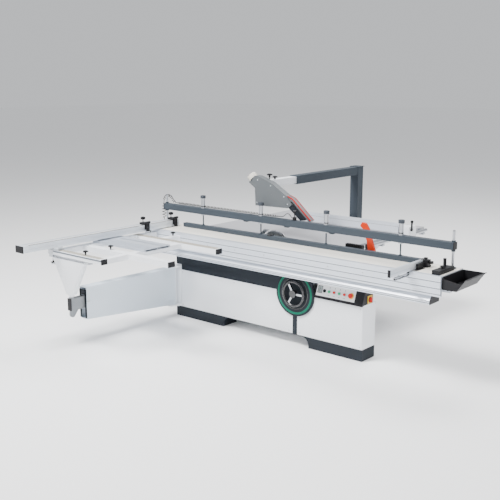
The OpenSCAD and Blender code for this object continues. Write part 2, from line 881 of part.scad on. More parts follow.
module gantry_post() {
    color(grey_blue) machine() difference() {
        union() {
            block([post_x - 160, post_y0 - 105, 0], [post_x + 160, post_y0 + post_side + 105, 14]);
            difference() {
                block([post_x - post_side / 2, post_y0, 14],
                      [post_x + post_side / 2, post_y0 + post_side, post_top]);
                block([post_x - post_side / 2 + 5, post_y0 + 5, 13],
                      [post_x + post_side / 2 - 5, post_y0 + post_side - 5, post_top - 5]);
            }
            // bracket that ties the post to the extension table's rim
            block([post_x - 60, ext_y1, table_h - 36], [post_x + 60, post_y0, table_h - 10]);
            block([post_x - post_side / 2 - 8, post_y0 - 8, post_top],
                  [post_x + post_side / 2 + 8, post_y0 + post_side + 8, post_top + 6]);
        }
        for (x = [-130, 130], y = [-75, post_side + 75])
            translate([post_x + x, post_y0 + y, -1]) cylinder(r = 7, h = 16);
    }
}

module gantry_arm() {
    color(grey_blue) machine() difference() {
        union() {
            tube_y(post_x - arm_side_x / 2, post_x + arm_side_x / 2, arm_z - arm_side_z / 2,
                   arm_z + arm_side_z / 2 - 0.5, arm_y0, post_y0, 4);
            block([post_x - arm_side_x / 2, post_y0 - 6, arm_z - arm_side_z / 2],
                  [post_x + arm_side_x / 2, post_y0, arm_z + arm_side_z / 2 - 0.5]);
            // guide collar for the sliding tube
            for (y = [arm_y0, arm_y0 + 500]) difference() {
                block([post_x - arm_side_x / 2 + 3, y, arm_z - arm_side_z / 2 + 3],
                      [post_x + arm_side_x / 2 - 3, y + 60, arm_z + arm_side_z / 2 - 3]);
                block([post_x - tube_side_x / 2 - run_gap, y - 1, arm_z - tube_side_z / 2 - run_gap],
                      [post_x + tube_side_x / 2 + run_gap, y + 61, arm_z + tube_side_z / 2 + run_gap]);
            }
        }
    }
}

module gantry_tube() {
    color(white) machine() {
        tube_y(post_x - tube_side_x / 2, post_x + tube_side_x / 2, arm_z - tube_side_z / 2,
               arm_z + tube_side_z / 2, tube_front + 12, arm_y0 + 620, 3);
        block([post_x - tube_side_x / 2, tube_front + 6, arm_z - tube_side_z / 2],
              [post_x + tube_side_x / 2, tube_front + 12, arm_z + tube_side_z / 2]);
        // slide plate that carries the hood
        block([post_x - 60, tube_front + run_gap, arm_z - 150], [post_x + 60, tube_front + 6, arm_z + 40]);
        for (x = [-60, 52]) block([post_x + x, tube_front + 6, arm_z - 150],
                                  [post_x + x + 8, tube_front + 26, arm_z + 40]);
    }
}

module hood_outline(inset) {
    offset(delta = -inset) polygon([[-275, 1160], [-283, 1322], [-357, 1371], [-283, 1437],
                                    [-246, 1436], [-91, 1384], [90, 1279], [150, 1206], [104, 1169]]);
}

module blade_hood() {
    color(hood_grey) machine() {
        difference() {
            along_y(hood_y - hood_t / 2, hood_y + hood_t / 2) hood_outline(0);
            along_y(hood_y - hood_t / 2 + 3, hood_y + hood_t / 2 - 3) hood_outline(3);
            block([-262, hood_y - hood_t / 2 + 3, 1140], [80, hood_y + hood_t / 2 - 3, 1180]);
            translate([-322, hood_y, 1406]) rotate([0, -48, 0]) cylinder(r = 30, h = 60, center = true);
        }
        // dust spout
        translate([-318, hood_y, 1402]) rotate([0, -48, 0]) difference() {
            cylinder(r = 42, h = 46);
            translate([0, 0, -1]) cylinder(r = 38, h = 48);
        }
        // chip deflector strip and the bar below it
        along_y(hood_y - 26, hood_y + 26) {
            polygon([[90, 1279], [150, 1257], [357, 1079], [340, 1066], [146, 1236], [128, 1232]]);
            polygon([[120, 1186], [146, 1197], [288, 1076], [240, 1070], [112, 1168]]);
        }
    }
}

// ---------- Pressure beam on the carriage ----------

module pressure_beam() {
    color(grey_blue) machine() {
        difference() {
            block([beam_x0, beam_y - beam_w / 2, beam_z0],
                  [beam_x0 + beam_l, beam_y + beam_w / 2, beam_z0 + beam_h]);
            block([beam_x0 - 1, beam_y - beam_w / 2 + 5, beam_z0 + 5],
                  [beam_x0 + beam_l + 1, beam_y + beam_w / 2 - 5, beam_z0 + beam_h - 5]);
            for (i = [0:3]) translate([cyl_x0 + i * cyl_pitch, beam_y, beam_z0 - 1])
                cylinder(r = 19, h = beam_h + 2);
            for (x = end_rod_x) translate([x, beam_y, beam_z0 - 1]) cylinder(r = 10, h = beam_h + 2);
        }
        // threaded end rods with their nuts and feet on the carriage
        for (x = end_rod_x) translate([x, beam_y, 0]) {
            translate([0, 0, table_h]) cylinder(r = 10, h = 300);
            for (z = [beam_z0 - 14, beam_z0 + beam_h]) translate([0, 0, z]) cylinder(r = 18, h = 14, $fn = 6);
            translate([-20, -26, table_h]) cube([40, 52, 12]);
        }
    }
}

valve_x = 234;
coil_x = carriage_x0 - 30;
coil_z0 = table_h + 35;

module air_cylinders() {
    color(alu) machine() {
        for (i = [0:3]) translate([cyl_x0 + i * cyl_pitch, beam_y, 0]) difference() {
            union() {
                translate([0, 0, beam_z0 - 10]) cylinder(r = 19, h = 190);
                translate([0, 0, beam_z0 + beam_h]) cylinder(r = 22, h = 10);
                translate([0, 0, beam_z0 + beam_h + 98]) cylinder(r = 25, h = 26);
                translate([0, 0, beam_z0 - 10]) cylinder(r = 23, h = 10);
            }
            translate([0, 0, beam_z0 - 11]) cylinder(r = 6.05, h = 180);
        }
        // hose fitting on the carriage's end and hand valve on the beam
        block([coil_x - 14, beam_y - 14, table_h - 24], [carriage_x0, beam_y + 14, table_h - 8]);
        translate([coil_x, beam_y, table_h - 8]) cylinder(r = 9, h = coil_z0 - table_h + 8);
        block([valve_x - 12, beam_y - 12, beam_z0 + beam_h], [valve_x + 12, beam_y + 12, beam_z0 + beam_h + 30]);
        translate([valve_x, beam_y, beam_z0 + beam_h + 30]) cylinder(r = 4, h = 45);
        translate([valve_x, beam_y, beam_z0 + beam_h + 72]) cylinder(r = 13, h = 16);
    }
}

module pressure_rail() {
    color(grey_blue) machine() {
        difference() {
            block([rail_x0, beam_y - 25, table_h + 0.5], [rail_x0 + rail_l, beam_y + 25, rail_top]);
            block([rail_x0 - 1, beam_y - 20, table_h + 8], [rail_x0 + rail_l + 1, beam_y + 20, rail_top - 5]);
        }
        for (i = [0:3]) translate([cyl_x0 + i * cyl_pitch, beam_y, rail_top]) {
            cylinder(r = 6, h = beam_z0 - rail_top + 20);
            cylinder(r = 13, h = 8);
        }
    }
}

// The air hose's route with its outer radius: an upright coil, a bow around the end rod,
// a long fine coil behind the cylinders and a bow down to the hand valve.
hose_r = 3;
coil_r = 22;
fine_r = 11;
fine_y = 224;
fine_z = beam_z0 + beam_h + 12;

function hose_path() = concat(
    [for (z = [coil_z0:36:coil_z0 + 180]) [coil_x, beam_y, z, coil_r]],
    [[-1440, 190, 1092, 10], [-1440, 191, 1104, hose_r], [-1439, 195, 1122, hose_r],
     [-1432, 203, 1140, hose_r], [-1418, 211, 1153, hose_r], [-1400, 218, 1158, hose_r],
     [-1382, 222, 1153, hose_r], [-1366, 224, 1140, hose_r], [-1352, 224, 1122, hose_r],
     [-1336, 224, 1106, hose_r], [-1318, 224, 1096, hose_r], [-1304, 224, 1092, 6]],
    [for (x = [-1296:48:48]) [x, fine_y, fine_z, fine_r]],
    [[58, 224, 1092, 6], [72, 224, 1094, hose_r], [90, 224, 1102, hose_r], [104, 223, 1114, hose_r],
     [120, 221, 1125, hose_r], [138, 217, 1129, hose_r], [156, 212, 1126, hose_r],
     [172, 206, 1118, hose_r], [188, 199, 1108, hose_r], [204, 192, 1100, hose_r],
     [valve_x - 12.4, 190, 1098, hose_r]]);

function sub3(a, b) = [a[0] - b[0], a[1] - b[1], a[2] - b[2]];
function unit3(v) = v / norm(v);
function place(p, i) = [p[i][0], p[i][1], p[i][2]];
function tangent(p, i) = unit3(sub3(place(p, min(i + 1, len(p) - 1)), place(p, max(i - 1, 0))));

// Ring of n points around the route at point i; a point's fourth number is its radius.
function ring(p, i, n) =
    let (t = tangent(p, i), side = unit3(cross(t, [0, 1, 0.001])), up = cross(t, side))
    [for (k = [0:n - 1])
        place(p, i) + p[i][3] * (cos(360 * k / n) * side + sin(360 * k / n) * up)];

module sweep(p, n) {
    rings = [for (i = [0:len(p) - 1]) for (q = ring(p, i, n)) q];
    last = (len(p) - 1) * n;
    walls = [for (i = [0:len(p) - 2]) for (k = [0:n - 1])
        [i * n + k, (i + 1) * n + k, (i + 1) * n + (k + 1) % n, i * n + (k + 1) % n]];
    caps = [[for (k = [0:n - 1]) k], [for (k = [0:n - 1]) last + n - 1 - k]];
    polyhedron(points = rings, faces = concat(walls, caps), convexity = 8);
}

module air_hose() {
    color(black) machine() sweep(hose_path(), 8);
}

// ---------- Outrigger ----------

module outrigger_frame() {
    color(white) machine() {
        // outer, middle and inner bars along the machine
        tube_x(frame_y0, frame_y0 + 60, frame_z0, frame_z1, frame_x0, -640, 4);
        tube_x(outer_bar_y - wide_bar / 2, outer_bar_y + wide_bar / 2, frame_z0, frame_z1,
               frame_x0, frame_x0 + outrigger_l, 4);
        tube_x(inner_bar_y - wide_bar / 2, inner_bar_y + wide_bar / 2, frame_z0, frame_z1,
               frame_x0, frame_x0 + outrigger_l - 55, 4);
        // cross bars between them
        for (x = [cross_x[0], cross_x[2]]) {
            tube_y(x - 30, x + 30, frame_z0, frame_z1, frame_y0 + 60, outer_bar_y - wide_bar / 2, 4);
            tube_y(x - 30, x + 30, frame_z0, frame_z1, outer_bar_y + wide_bar / 2,
                   inner_bar_y - wide_bar / 2, 4);
        }
        // hooks to the carriage's side
        for (x = [cross_x[0], cross_x[1]]) {
            tube_y(x - 30, x + 30, frame_z0, frame_z1, inner_bar_y + wide_bar / 2, carriage_y0 - 8, 4);
            block([x - 40, carriage_y0 - 8, frame_z0 - 30], [x + 40, carriage_y0, frame_z1]);
        }
    }
}

module outrigger_panel() {
    y0 = outer_bar_y + 114;
    y1 = inner_bar_y - 219;
    color(alu) machine() difference() {
        block([frame_x0 + 4, y0, frame_z1], [-590, y1, panel_z1]);
        for (i = [0:4]) block([frame_x0 + 3, y0 + 10 + i * 26, panel_z1 - 4], [-589, y0 + 24 + i * 26, panel_z1 + 1]);
        for (i = [0:40]) block([frame_x0 + 130 + i * 14, y0 + 205, panel_z1 - 3],
                               [frame_x0 + 137 + i * 14, y0 + 245, panel_z1 + 1]);
        block([frame_x0 + 3, y0 + 16, frame_z1 + 4], [-589, y0 + 150, panel_z1 - 7]);
        block([frame_x0 + 3, y0 + 160, frame_z1 + 4], [-589, y1 - 16, panel_z1 - 7]);
    }
}

rod_x0 = -1362;
rod_x1 = -830;

module support_rod() {
    color(steel) machine() {
        round_x(rod_y, rod_z, rod_r, rod_x0, rod_x1);
        // end blocks under the outer bar
        for (x = [rod_x0 - 6, rod_x1 - 40]) difference() {
            block([x, rod_y - 24, rod_z - 15], [x + 50, rod_y + 24, frame_z0]);
            round_x(rod_y, rod_z, rod_r - 1, x - 1, x + 51);
        }
        block([rod_x0 - 6, rod_y - 34, frame_z0], [frame_x0, rod_y + 26, frame_z0 + 40]);
        // hand screw under the left block
        translate([rod_x0 + 18, rod_y, rod_z - 70]) cylinder(r = 6, h = 56);
        translate([rod_x0 + 18, rod_y, rod_z - 84]) cylinder(r = 20, h = 16);
    }
}

// ---------- Crosscut fence ----------

module crosscut_fence() {
    x0 = fence_x - fence_w / 2;
    x1 = fence_x + fence_w / 2;
    z1 = fence_z0 + fence_h;
    color(alu) machine() difference() {
        union() {
            block([x0, fence_y0 + 60, fence_z0], [x1, fence_y1, z1]);
            translate([fence_x, fence_pivot_y, table_h + run_gap]) cylinder(r = 40, h = fence_z0 - table_h);
            block([fence_x - 30, frame_y0 + 6, frame_z1 + run_gap], [fence_x + 30, frame_y0 + 54, fence_z0]);
        }
        // cavity of the extension, T-slots and the scale groove
        block([x0 + 30, fence_y0 - 1, fence_z0 + 12], [x1 - 12, fence_y1 - 400, z1 - 16]);
        block([x0 + 22, fence_y0 - 1, z1 - 4], [x0 + 30, fence_y1 + 1, z1 + 1]);
        block([x1 - 30, fence_y0 - 1, z1 - 8], [x1 - 20, fence_y1 + 1, z1 + 1]);
        block([x1 - 4, fence_y0 - 1, fence_z0 + 24], [x1 + 1, fence_y1 + 1, fence_z0 + 34]);
        block([x0 - 1, fence_y0 - 1, fence_z0 + 24], [x0 + 4, fence_y1 + 1, fence_z0 + 34]);
    }
}

module fence_extension() {
    x0 = fence_x - fence_w / 2;
    x1 = fence_x + fence_w / 2;
    z1 = fence_z0 + fence_h;
    color(alu) machine() {
        tube_y(x0 + 30 + run_gap, x1 - 12 - run_gap, fence_z0 + 12 + run_gap, z1 - 16 - run_gap,
               fence_y0 + 50, fence_y0 + 960, 3);
        block([x0, fence_y0, fence_z0], [x1, fence_y0 + 60 - run_gap, z1]);
    }
}

stop_y = [-268, 108];

module flip_stop(y) {
    z1 = fence_z0 + fence_h;
    x1 = fence_x + fence_w / 2;
    // saddle on the fence, hinge drum, flag and star knob
    difference() {
        block([fence_x - 20, y - 28, z1 + run_gap], [x1 + 8, y + 28, z1 + 22]);
        translate([fence_x, y, z1 - 1]) cylinder(r = 4, h = 30);
    }
    block([x1 + run_gap, y - 28, fence_z0 + 20], [x1 + 8, y + 28, z1 + run_gap]);
    round_y(x1 + 18, z1 + 26, 12, y - 24, y + 24);
    block([x1 + 10, y - 20, fence_z0 - 2], [x1 + 22, y + 20, z1 + 20]);
    block([x1 + 8 - 0.5, y - 20, z1 + 2], [x1 + 12, y + 20, z1 + 20]);
    translate([fence_x, y, z1 + run_gap]) cylinder(r = 4, h = 50);
    translate([fence_x, y, z1 + 50]) for (a = [0:60:120]) rotate([0, 0, a])
        translate([-22, -6, 0]) cube([44, 12, 16]);
}

module outer_flip_stop() { color(black) machine() flip_stop(stop_y[0]); }
module inner_flip_stop() { color(black) machine() flip_stop(stop_y[1]); }

// ---------- Swing arm ----------

module arm_outline(inset) {
    polygon([[arm_end - (inset ? 1 : 0), 218 + inset], [arm_end - (inset ? 1 : 0), arm_top - inset],
             [hinge_y - 60, hinge_z1 - inset], [hinge_y - (inset ? 46 : 0), hinge_z1 - inset],
             [hinge_y - (inset ? 46 : 0), hinge_z0 + inset]]);
}

module swing_arm() {
    color(white) machine() difference() {
        union() {
            difference() {
                along_x(arm_x - arm_w / 2, arm_x + arm_w / 2) arm_outline(0);
                along_x(arm_x - arm_w / 2 + arm_wall, arm_x + arm_w / 2 - arm_wall) arm_outline(arm_wall);
            }
            translate([arm_x, hinge_y, hinge_z0]) cylinder(r = arm_w / 2, h = hinge_z1 - hinge_z0);
            // guide rails for the sliding tube
            for (z = [tube_z0 - 12 - run_gap, tube_z1 + run_gap])
                block([arm_x - arm_w / 2 + arm_wall, arm_end + 6, z],
                      [arm_x + arm_w / 2 - arm_wall, arm_end + 800, z + 12]);
            for (x = [arm_x - tube_w / 2 - 12 - run_gap, arm_x + tube_w / 2 + run_gap])
                block([x, arm_end + 6, tube_z0 - 6], [x + 12, arm_end + 60, tube_z1 + 6]);
        }
        translate([arm_x, hinge_y, hinge_z0 - 1]) cylinder(r = 14.06, h = hinge_z1 - hinge_z0 + 2);
    }
}

module arm_tube() {
    color(steel) machine() difference() {
        union() {
            tube_y(arm_x - tube_w / 2, arm_x + tube_w / 2, tube_z0, tube_z1, pivot_y - 10, -420, 5);
            block([arm_x - tube_w / 2, pivot_y - 22, tube_z0], [arm_x + tube_w / 2, pivot_y + 26, tube_z1]);
            translate([arm_x, pivot_y, tube_z1]) cylinder(r = 24, h = 14);
            hull() {
                round_x(pivot_y, tube_z0 - 40, 24, arm_x - 12, arm_x + 12);
                block([arm_x - 12, pivot_y - 22, tube_z0 - 4], [arm_x + 12, pivot_y + 60, tube_z0]);
            }
        }
        translate([arm_x, pivot_y, tube_z1 - 60]) cylinder(r = 10.05, h = 90);
    }
}

post_half = 210;
post_foot = 34;

module post_triangle(inset) {
    polygon([[-post_foot + inset * 1.2, post_z0 + inset], [post_foot - inset * 1.2, post_z0 + inset],
             [post_half - inset * 1.2, post_z1 - inset], [-post_half + inset * 1.2, post_z1 - inset]]);
}

module support_post() {
    color(white) machine() {
        translate([arm_x, 0, 0]) {
            difference() {
                along_y(pivot_y - 26, pivot_y + 30) post_triangle(0);
                along_y(pivot_y - 20, pivot_y + 31) post_triangle(6);
            }
            translate([0, pivot_y, tube_z1 - 55]) cylinder(r = 10, h = post_z0 - tube_z1 + 60);
            translate([0, pivot_y, tube_z1 + 14 + run_gap])
                cylinder(r = 24, h = post_z0 - tube_z1 - 14 - run_gap);
        }
    }
}

// ---------- Stops and clamps on the carriage ----------

stop_x = 1548;

module front_stop() {
    color(alu) machine() difference() {
        block([stop_x, -400, 874], [stop_x + 23, 90, 930]);
        block([stop_x - 1, -396, 880], [stop_x + 4, 91, 888]);
        block([stop_x + 19, -401, 896], [stop_x + 24, 91, 906]);
        block([stop_x + 8, -401, 922], [stop_x + 15, 91, 931]);
    }
}

module stop_clamp() {
    color(black) machine() {
        // jaw on the carriage, arm under the profile and the head with its knobs
        block([stop_x - 20, -60, table_h], [stop_x + 60, 60, table_h + 4]);
        block([stop_x - 12, 90, table_h], [stop_x + 60, 150, table_h + 58]);
        block([stop_x + 23, -20, table_h + 4], [stop_x + 40, 90, table_h + 44]);
        round_x(124, table_h + 40, 12, stop_x + 60, stop_x + 92);
        round_x(100, table_h + 18, 10, stop_x + 60, stop_x + 84);
        difference() {
            block([stop_x + 4, -330, table_h - 34], [stop_x + 18, carriage_y0, table_h - 12]);
            block([stop_x + 3, -322, table_h - 28], [stop_x + 19, carriage_y0 - 8, table_h - 18]);
        }
        block([stop_x + 4, carriage_y0 - 12, table_h - 12], [stop_x + 18, carriage_y0, table_h + 4]);
        block([stop_x + 4, carriage_y0 - 12, table_h], [stop_x + 18, -60, table_h + 4]);
    }
}

module end_tray() {
    t = 4;
    x0 = carriage_x1;
    color(dark) machine() {
        // mounting plate on the carriage's end and the clamp block above it
        block([x0, -90, 768], [x0 + 6, carriage_y1 - 1, table_h - 8]);
        block([1739, -81, table_h], [1804, 160, 902]);
        translate([1749, 105, 902]) cylinder(r = 13, h = 62);
        // folded bin, its slanted wall running from the fold up to the lip
        fold = [1950, 768];
        lip = [2016, 862];
        low = fold + 0.6 * (lip - fold);
        along_y(-90, carriage_y1 - 1) polygon([[x0 + 5, 768], fold, lip, [2024, 862], [2024, 866],
                                               [2013, 866], [1948, 768 + t], [x0 + 5, 768 + t]]);
        along_y(-90, -90 + t) polygon([[x0 + 5, 768], fold, low, [x0 + 5, 852]]);
        along_y(carriage_y1 - 1 - t, carriage_y1 - 1) polygon([[x0 + 5, 768], fold, lip, [x0 + 5, 862]]);
        for (x = [1850, 1880]) round_y(x, 759, 11, -32, 8);
    }
}

base_frame();
cabinet_shell();
rear_body();
left_front_cover();
right_front_cover();
fascia();
control_housing();
guide_beam();
main_table();
table_insert();
extension_table();
table_struts();
trunnions();
rip_rail();
stick_holder();
gantry_post();
gantry_arm();
handwheel();
selector_knob();
start_button();
stop_button();
scoring_start_button();
scoring_stop_button();
emergency_button();
main_switch();
tilt_frame();
arbor_carrier();
main_motor();
riving_knife();
arbor();
main_blade();
motor_pulley();
drive_belt();
scoring_unit();
scoring_blade();
rip_head();
rip_fence();
rip_lever();
push_stick();
gantry_tube();
blade_hood();
swing_arm();
arm_tube();
support_post();
roller_cages();
carriage();
outrigger_frame();
outrigger_panel();
support_rod();
crosscut_fence();
fence_extension();
outer_flip_stop();
inner_flip_stop();
pressure_beam();
air_cylinders();
pressure_rail();
air_hose();
front_stop();
stop_clamp();
end_tray();
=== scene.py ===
"""Visual model of a sliding-table panel saw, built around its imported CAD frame."""

import json
import logging
import math
from dataclasses import dataclass, field
from enum import Enum
from typing import Any, Sequence

import bmesh
import bpy
from mathutils import Matrix, Vector

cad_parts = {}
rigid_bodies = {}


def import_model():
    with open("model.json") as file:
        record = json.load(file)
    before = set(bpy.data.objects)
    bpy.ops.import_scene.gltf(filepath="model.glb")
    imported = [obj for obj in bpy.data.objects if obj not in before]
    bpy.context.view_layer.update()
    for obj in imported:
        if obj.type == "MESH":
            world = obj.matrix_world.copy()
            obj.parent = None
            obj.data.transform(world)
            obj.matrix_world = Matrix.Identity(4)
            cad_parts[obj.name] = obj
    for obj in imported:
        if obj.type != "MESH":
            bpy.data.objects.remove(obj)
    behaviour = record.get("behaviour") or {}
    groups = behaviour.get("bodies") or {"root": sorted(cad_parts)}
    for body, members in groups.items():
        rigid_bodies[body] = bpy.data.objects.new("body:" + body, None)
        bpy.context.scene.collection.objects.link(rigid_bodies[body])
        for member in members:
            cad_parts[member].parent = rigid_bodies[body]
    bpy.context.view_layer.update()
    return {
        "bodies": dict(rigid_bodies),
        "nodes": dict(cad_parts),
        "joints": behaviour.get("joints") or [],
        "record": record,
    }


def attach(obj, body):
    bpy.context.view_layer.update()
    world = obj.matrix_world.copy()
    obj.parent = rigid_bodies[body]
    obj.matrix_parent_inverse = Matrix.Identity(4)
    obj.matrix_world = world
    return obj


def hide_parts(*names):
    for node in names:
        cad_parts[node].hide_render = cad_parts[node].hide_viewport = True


LOG = logging.getLogger("panel_saw")
Pair = tuple[float, float]
Point = tuple[float, float, float]
Edges = tuple[float, float, float, float]
Profile = tuple[Pair, ...]
Box = tuple[Point, Point]
MM = 0.001
# the cabinet's front plane lies this far in front of the row frame's origin, mm
FRONT_PLANE = 400.0
WELD_GAP = 1e-5
CRISP_ANGLE = math.radians(35)
ROUNDED_ANGLE = math.radians(40)
EDGE_SEGMENTS = 2
UP = Vector((0, 0, 1))
FRONT = Vector((0, -1, 0))
BACK = Vector((0, 1, 0))
LEFT = Vector((-1, 0, 0))
RIGHT = Vector((1, 0, 0))


class Wear(Enum):
    """How strongly a finish shows grain, smudges and dust."""

    FRESH = 0.35
    USED = 0.7


def place(x: float, y: float, z: float) -> Vector:
    """Turn a place in millimetres from the cabinet's front plane into the row frame.

    Args:
        x: Distance along the machine from the cabinet's middle.
        y: Distance behind the cabinet's front plane.
        z: Height above the floor.

    Returns:
        The same place in metres in the row frame.
    """
    return Vector((x * MM, (y - FRONT_PLANE) * MM, z * MM))


# ---------------------------------------------------------------- shader groups


class ShaderGroups:
    """Node groups that several finishes share, each built once."""

    def __init__(self) -> None:
        """Build the grain and the smudge group."""
        self.grain = self._grain()
        self.smudge = self._smudge()

    @staticmethod
    def _new(name: str, inputs: Sequence[tuple[str, str, Any]],
             outputs: Sequence[tuple[str, str]]) -> Any:
        """Make an empty group with its sockets.

        Args:
            name: The group's name.
            inputs: Name, socket type and default value of each input.
            outputs: Name and socket type of each output.

        Returns:
            The node tree.
        """
        tree = bpy.data.node_groups.new(name, "ShaderNodeTree")
        for label, kind, default in inputs:
            socket = tree.interface.new_socket(name=label, in_out="INPUT", socket_type=kind)
            if default is not None:
                socket.default_value = default
        for label, kind in outputs:
            tree.interface.new_socket(name=label, in_out="OUTPUT", socket_type=kind)
        return tree

    def _grain(self) -> Any:
        """Fine grain that shifts colour and height; stretched, it becomes brush lines.

        Returns:
            The node tree.
        """
        tree = self._new(
            "fine_grain",
            [("Vector", "NodeSocketVector", None), ("Colour", "NodeSocketColor", (0.8, 0.8, 0.8, 1)),
             ("Dark Colour", "NodeSocketColor", (0.6, 0.6, 0.6, 1)),
             ("Scale", "NodeSocketFloat", 400.0), ("Amount", "NodeSocketFloat", 0.5)],
            [("Colour", "NodeSocketColor"), ("Height", "NodeSocketFloat")])
        nodes, links = tree.nodes, tree.links
        entry, leave = nodes.new("NodeGroupInput"), nodes.new("NodeGroupOutput")
        noise = nodes.new("ShaderNodeTexNoise")
        noise.inputs["Detail"].default_value = 4.0
        scaled = nodes.new("ShaderNodeMath")
        scaled.operation = "MULTIPLY"
        mix = nodes.new("ShaderNodeMix")
        mix.data_type = "RGBA"
        links.new(entry.outputs["Vector"], noise.inputs["Vector"])
        links.new(entry.outputs["Scale"], noise.inputs["Scale"])
        links.new(noise.outputs["Fac"], scaled.inputs[0])
        links.new(entry.outputs["Amount"], scaled.inputs[1])
        links.new(scaled.outputs[0], mix.inputs["Factor"])
        links.new(entry.outputs["Colour"], mix.inputs["A"])
        links.new(entry.outputs["Dark Colour"], mix.inputs["B"])
        links.new(mix.outputs["Result"], leave.inputs["Colour"])
        links.new(noise.outputs["Fac"], leave.inputs["Height"])
        return tree

    def _smudge(self) -> Any:
        """Broad soft patches that lift the roughness where hands and dust have been.

        Returns:
            The node tree.
        """
        tree = self._new(
            "handling_smudge",
            [("Vector", "NodeSocketVector", None), ("Base", "NodeSocketFloat", 0.4),
             ("Spread", "NodeSocketFloat", 0.1), ("Scale", "NodeSocketFloat", 6.0)],
            [("Roughness", "NodeSocketFloat")])
        nodes, links = tree.nodes, tree.links
        entry, leave = nodes.new("NodeGroupInput"), nodes.new("NodeGroupOutput")
        noise = nodes.new("ShaderNodeTexNoise")
        noise.inputs["Detail"].default_value = 2.0
        spread = nodes.new("ShaderNodeMath")
        spread.operation = "MULTIPLY_ADD"
        links.new(entry.outputs["Vector"], noise.inputs["Vector"])
        links.new(entry.outputs["Scale"], noise.inputs["Scale"])
        links.new(noise.outputs["Fac"], spread.inputs[0])
        links.new(entry.outputs["Spread"], spread.inputs[1])
        links.new(entry.outputs["Base"], spread.inputs[2])
        links.new(spread.outputs[0], leave.inputs["Roughness"])
        return tree


@dataclass(frozen=True)
class Finish:
    """One surface finish of the machine.

    Attributes:
        name: The finish in a maker's words.
        colour: Main colour, linear.
        shade: Colour of its darker grain.
        roughness: Lowest roughness.
        metallic: 1 for bare metal.
        coat: Clear coat weight.
        grain_scale: Grain cells per metre.
        stretch: Grain stretch along X, Y and Z; a small number draws long lines.
        bump: Bump distance in metres.
        wear: How strongly grain and smudges show.
        ribs: Ribs per metre across the machine, 0 for a plain surface.
        gloss: Strength of its mirror-like sheen, 0.5 for most plastics and paints.
    """

    name: str
    colour: Point
    shade: Point
    roughness: float = 0.4
    metallic: float = 0.0
    coat: float = 0.0
    grain_scale: float = 500.0
    stretch: Point = (1.0, 1.0, 1.0)
    bump: float = 0.0001
    wear: Wear = Wear.FRESH
    ribs: float = 0.0
    gloss: float = 0.5

    def build(self, groups: ShaderGroups) -> Any:
        """Make the Blender material.

        Args:
            groups: The shared node groups.

        Returns:
            The material.
        """
        material = bpy.data.materials.new(self.name)
        material.use_nodes = True
        material.diffuse_color = (*self.colour, 1.0)
        nodes, links = material.node_tree.nodes, material.node_tree.links
        shader = nodes["Principled BSDF"]
        shader.inputs["Metallic"].default_value = self.metallic
        shader.inputs["Coat Weight"].default_value = self.coat
        shader.inputs["Coat Roughness"].default_value = 0.15
        shader.inputs["Specular IOR Level"].default_value = self.gloss
        coordinates = nodes.new("ShaderNodeTexCoord")
        mapping = nodes.new("ShaderNodeMapping")
        mapping.inputs["Scale"].default_value = self.stretch
        links.new(coordinates.outputs["Object"], mapping.inputs["Vector"])
        grain = nodes.new("ShaderNodeGroup")
        grain.node_tree = groups.grain
        grain.inputs["Colour"].default_value = (*self.colour, 1.0)
        grain.inputs["Dark Colour"].default_value = (*self.shade, 1.0)
        grain.inputs["Scale"].default_value = self.grain_scale
        grain.inputs["Amount"].default_value = self.wear.value
        links.new(mapping.outputs["Vector"], grain.inputs["Vector"])
        smudge = nodes.new("ShaderNodeGroup")
        smudge.node_tree = groups.smudge
        smudge.inputs["Base"].default_value = self.roughness
        smudge.inputs["Spread"].default_value = 0.22 * self.wear.value
        links.new(coordinates.outputs["Object"], smudge.inputs["Vector"])
        bump = nodes.new("ShaderNodeBump")
        bump.inputs["Strength"].default_value = 0.35
        bump.inputs["Distance"].default_value = self.bump
        height = grain.outputs["Height"]
        if self.ribs:
            height = self._add_ribs(nodes, links, coordinates.outputs["Object"])
            bump.inputs["Strength"].default_value = 0.6
        links.new(height, bump.inputs["Height"])
        links.new(grain.outputs["Colour"], shader.inputs["Base Color"])
        links.new(smudge.outputs["Roughness"], shader.inputs["Roughness"])
        links.new(bump.outputs["Normal"], shader.inputs["Normal"])
        return material

    def _add_ribs(self, nodes: Any, links: Any, vector: Any) -> Any:
        """Add long extruded ribs that run along the machine.

        Args:
            nodes: The material's nodes.
            links: The material's links.
            vector: Socket with the object coordinates.

        Returns:
            The socket that holds the ribs' height.
        """
        wave = nodes.new("ShaderNodeTexWave")
        wave.bands_direction = "Y"
        wave.inputs["Scale"].default_value = self.ribs
        wave.inputs["Distortion"].default_value = 0.0
        links.new(vector, wave.inputs["Vector"])
        return wave.outputs["Fac"]


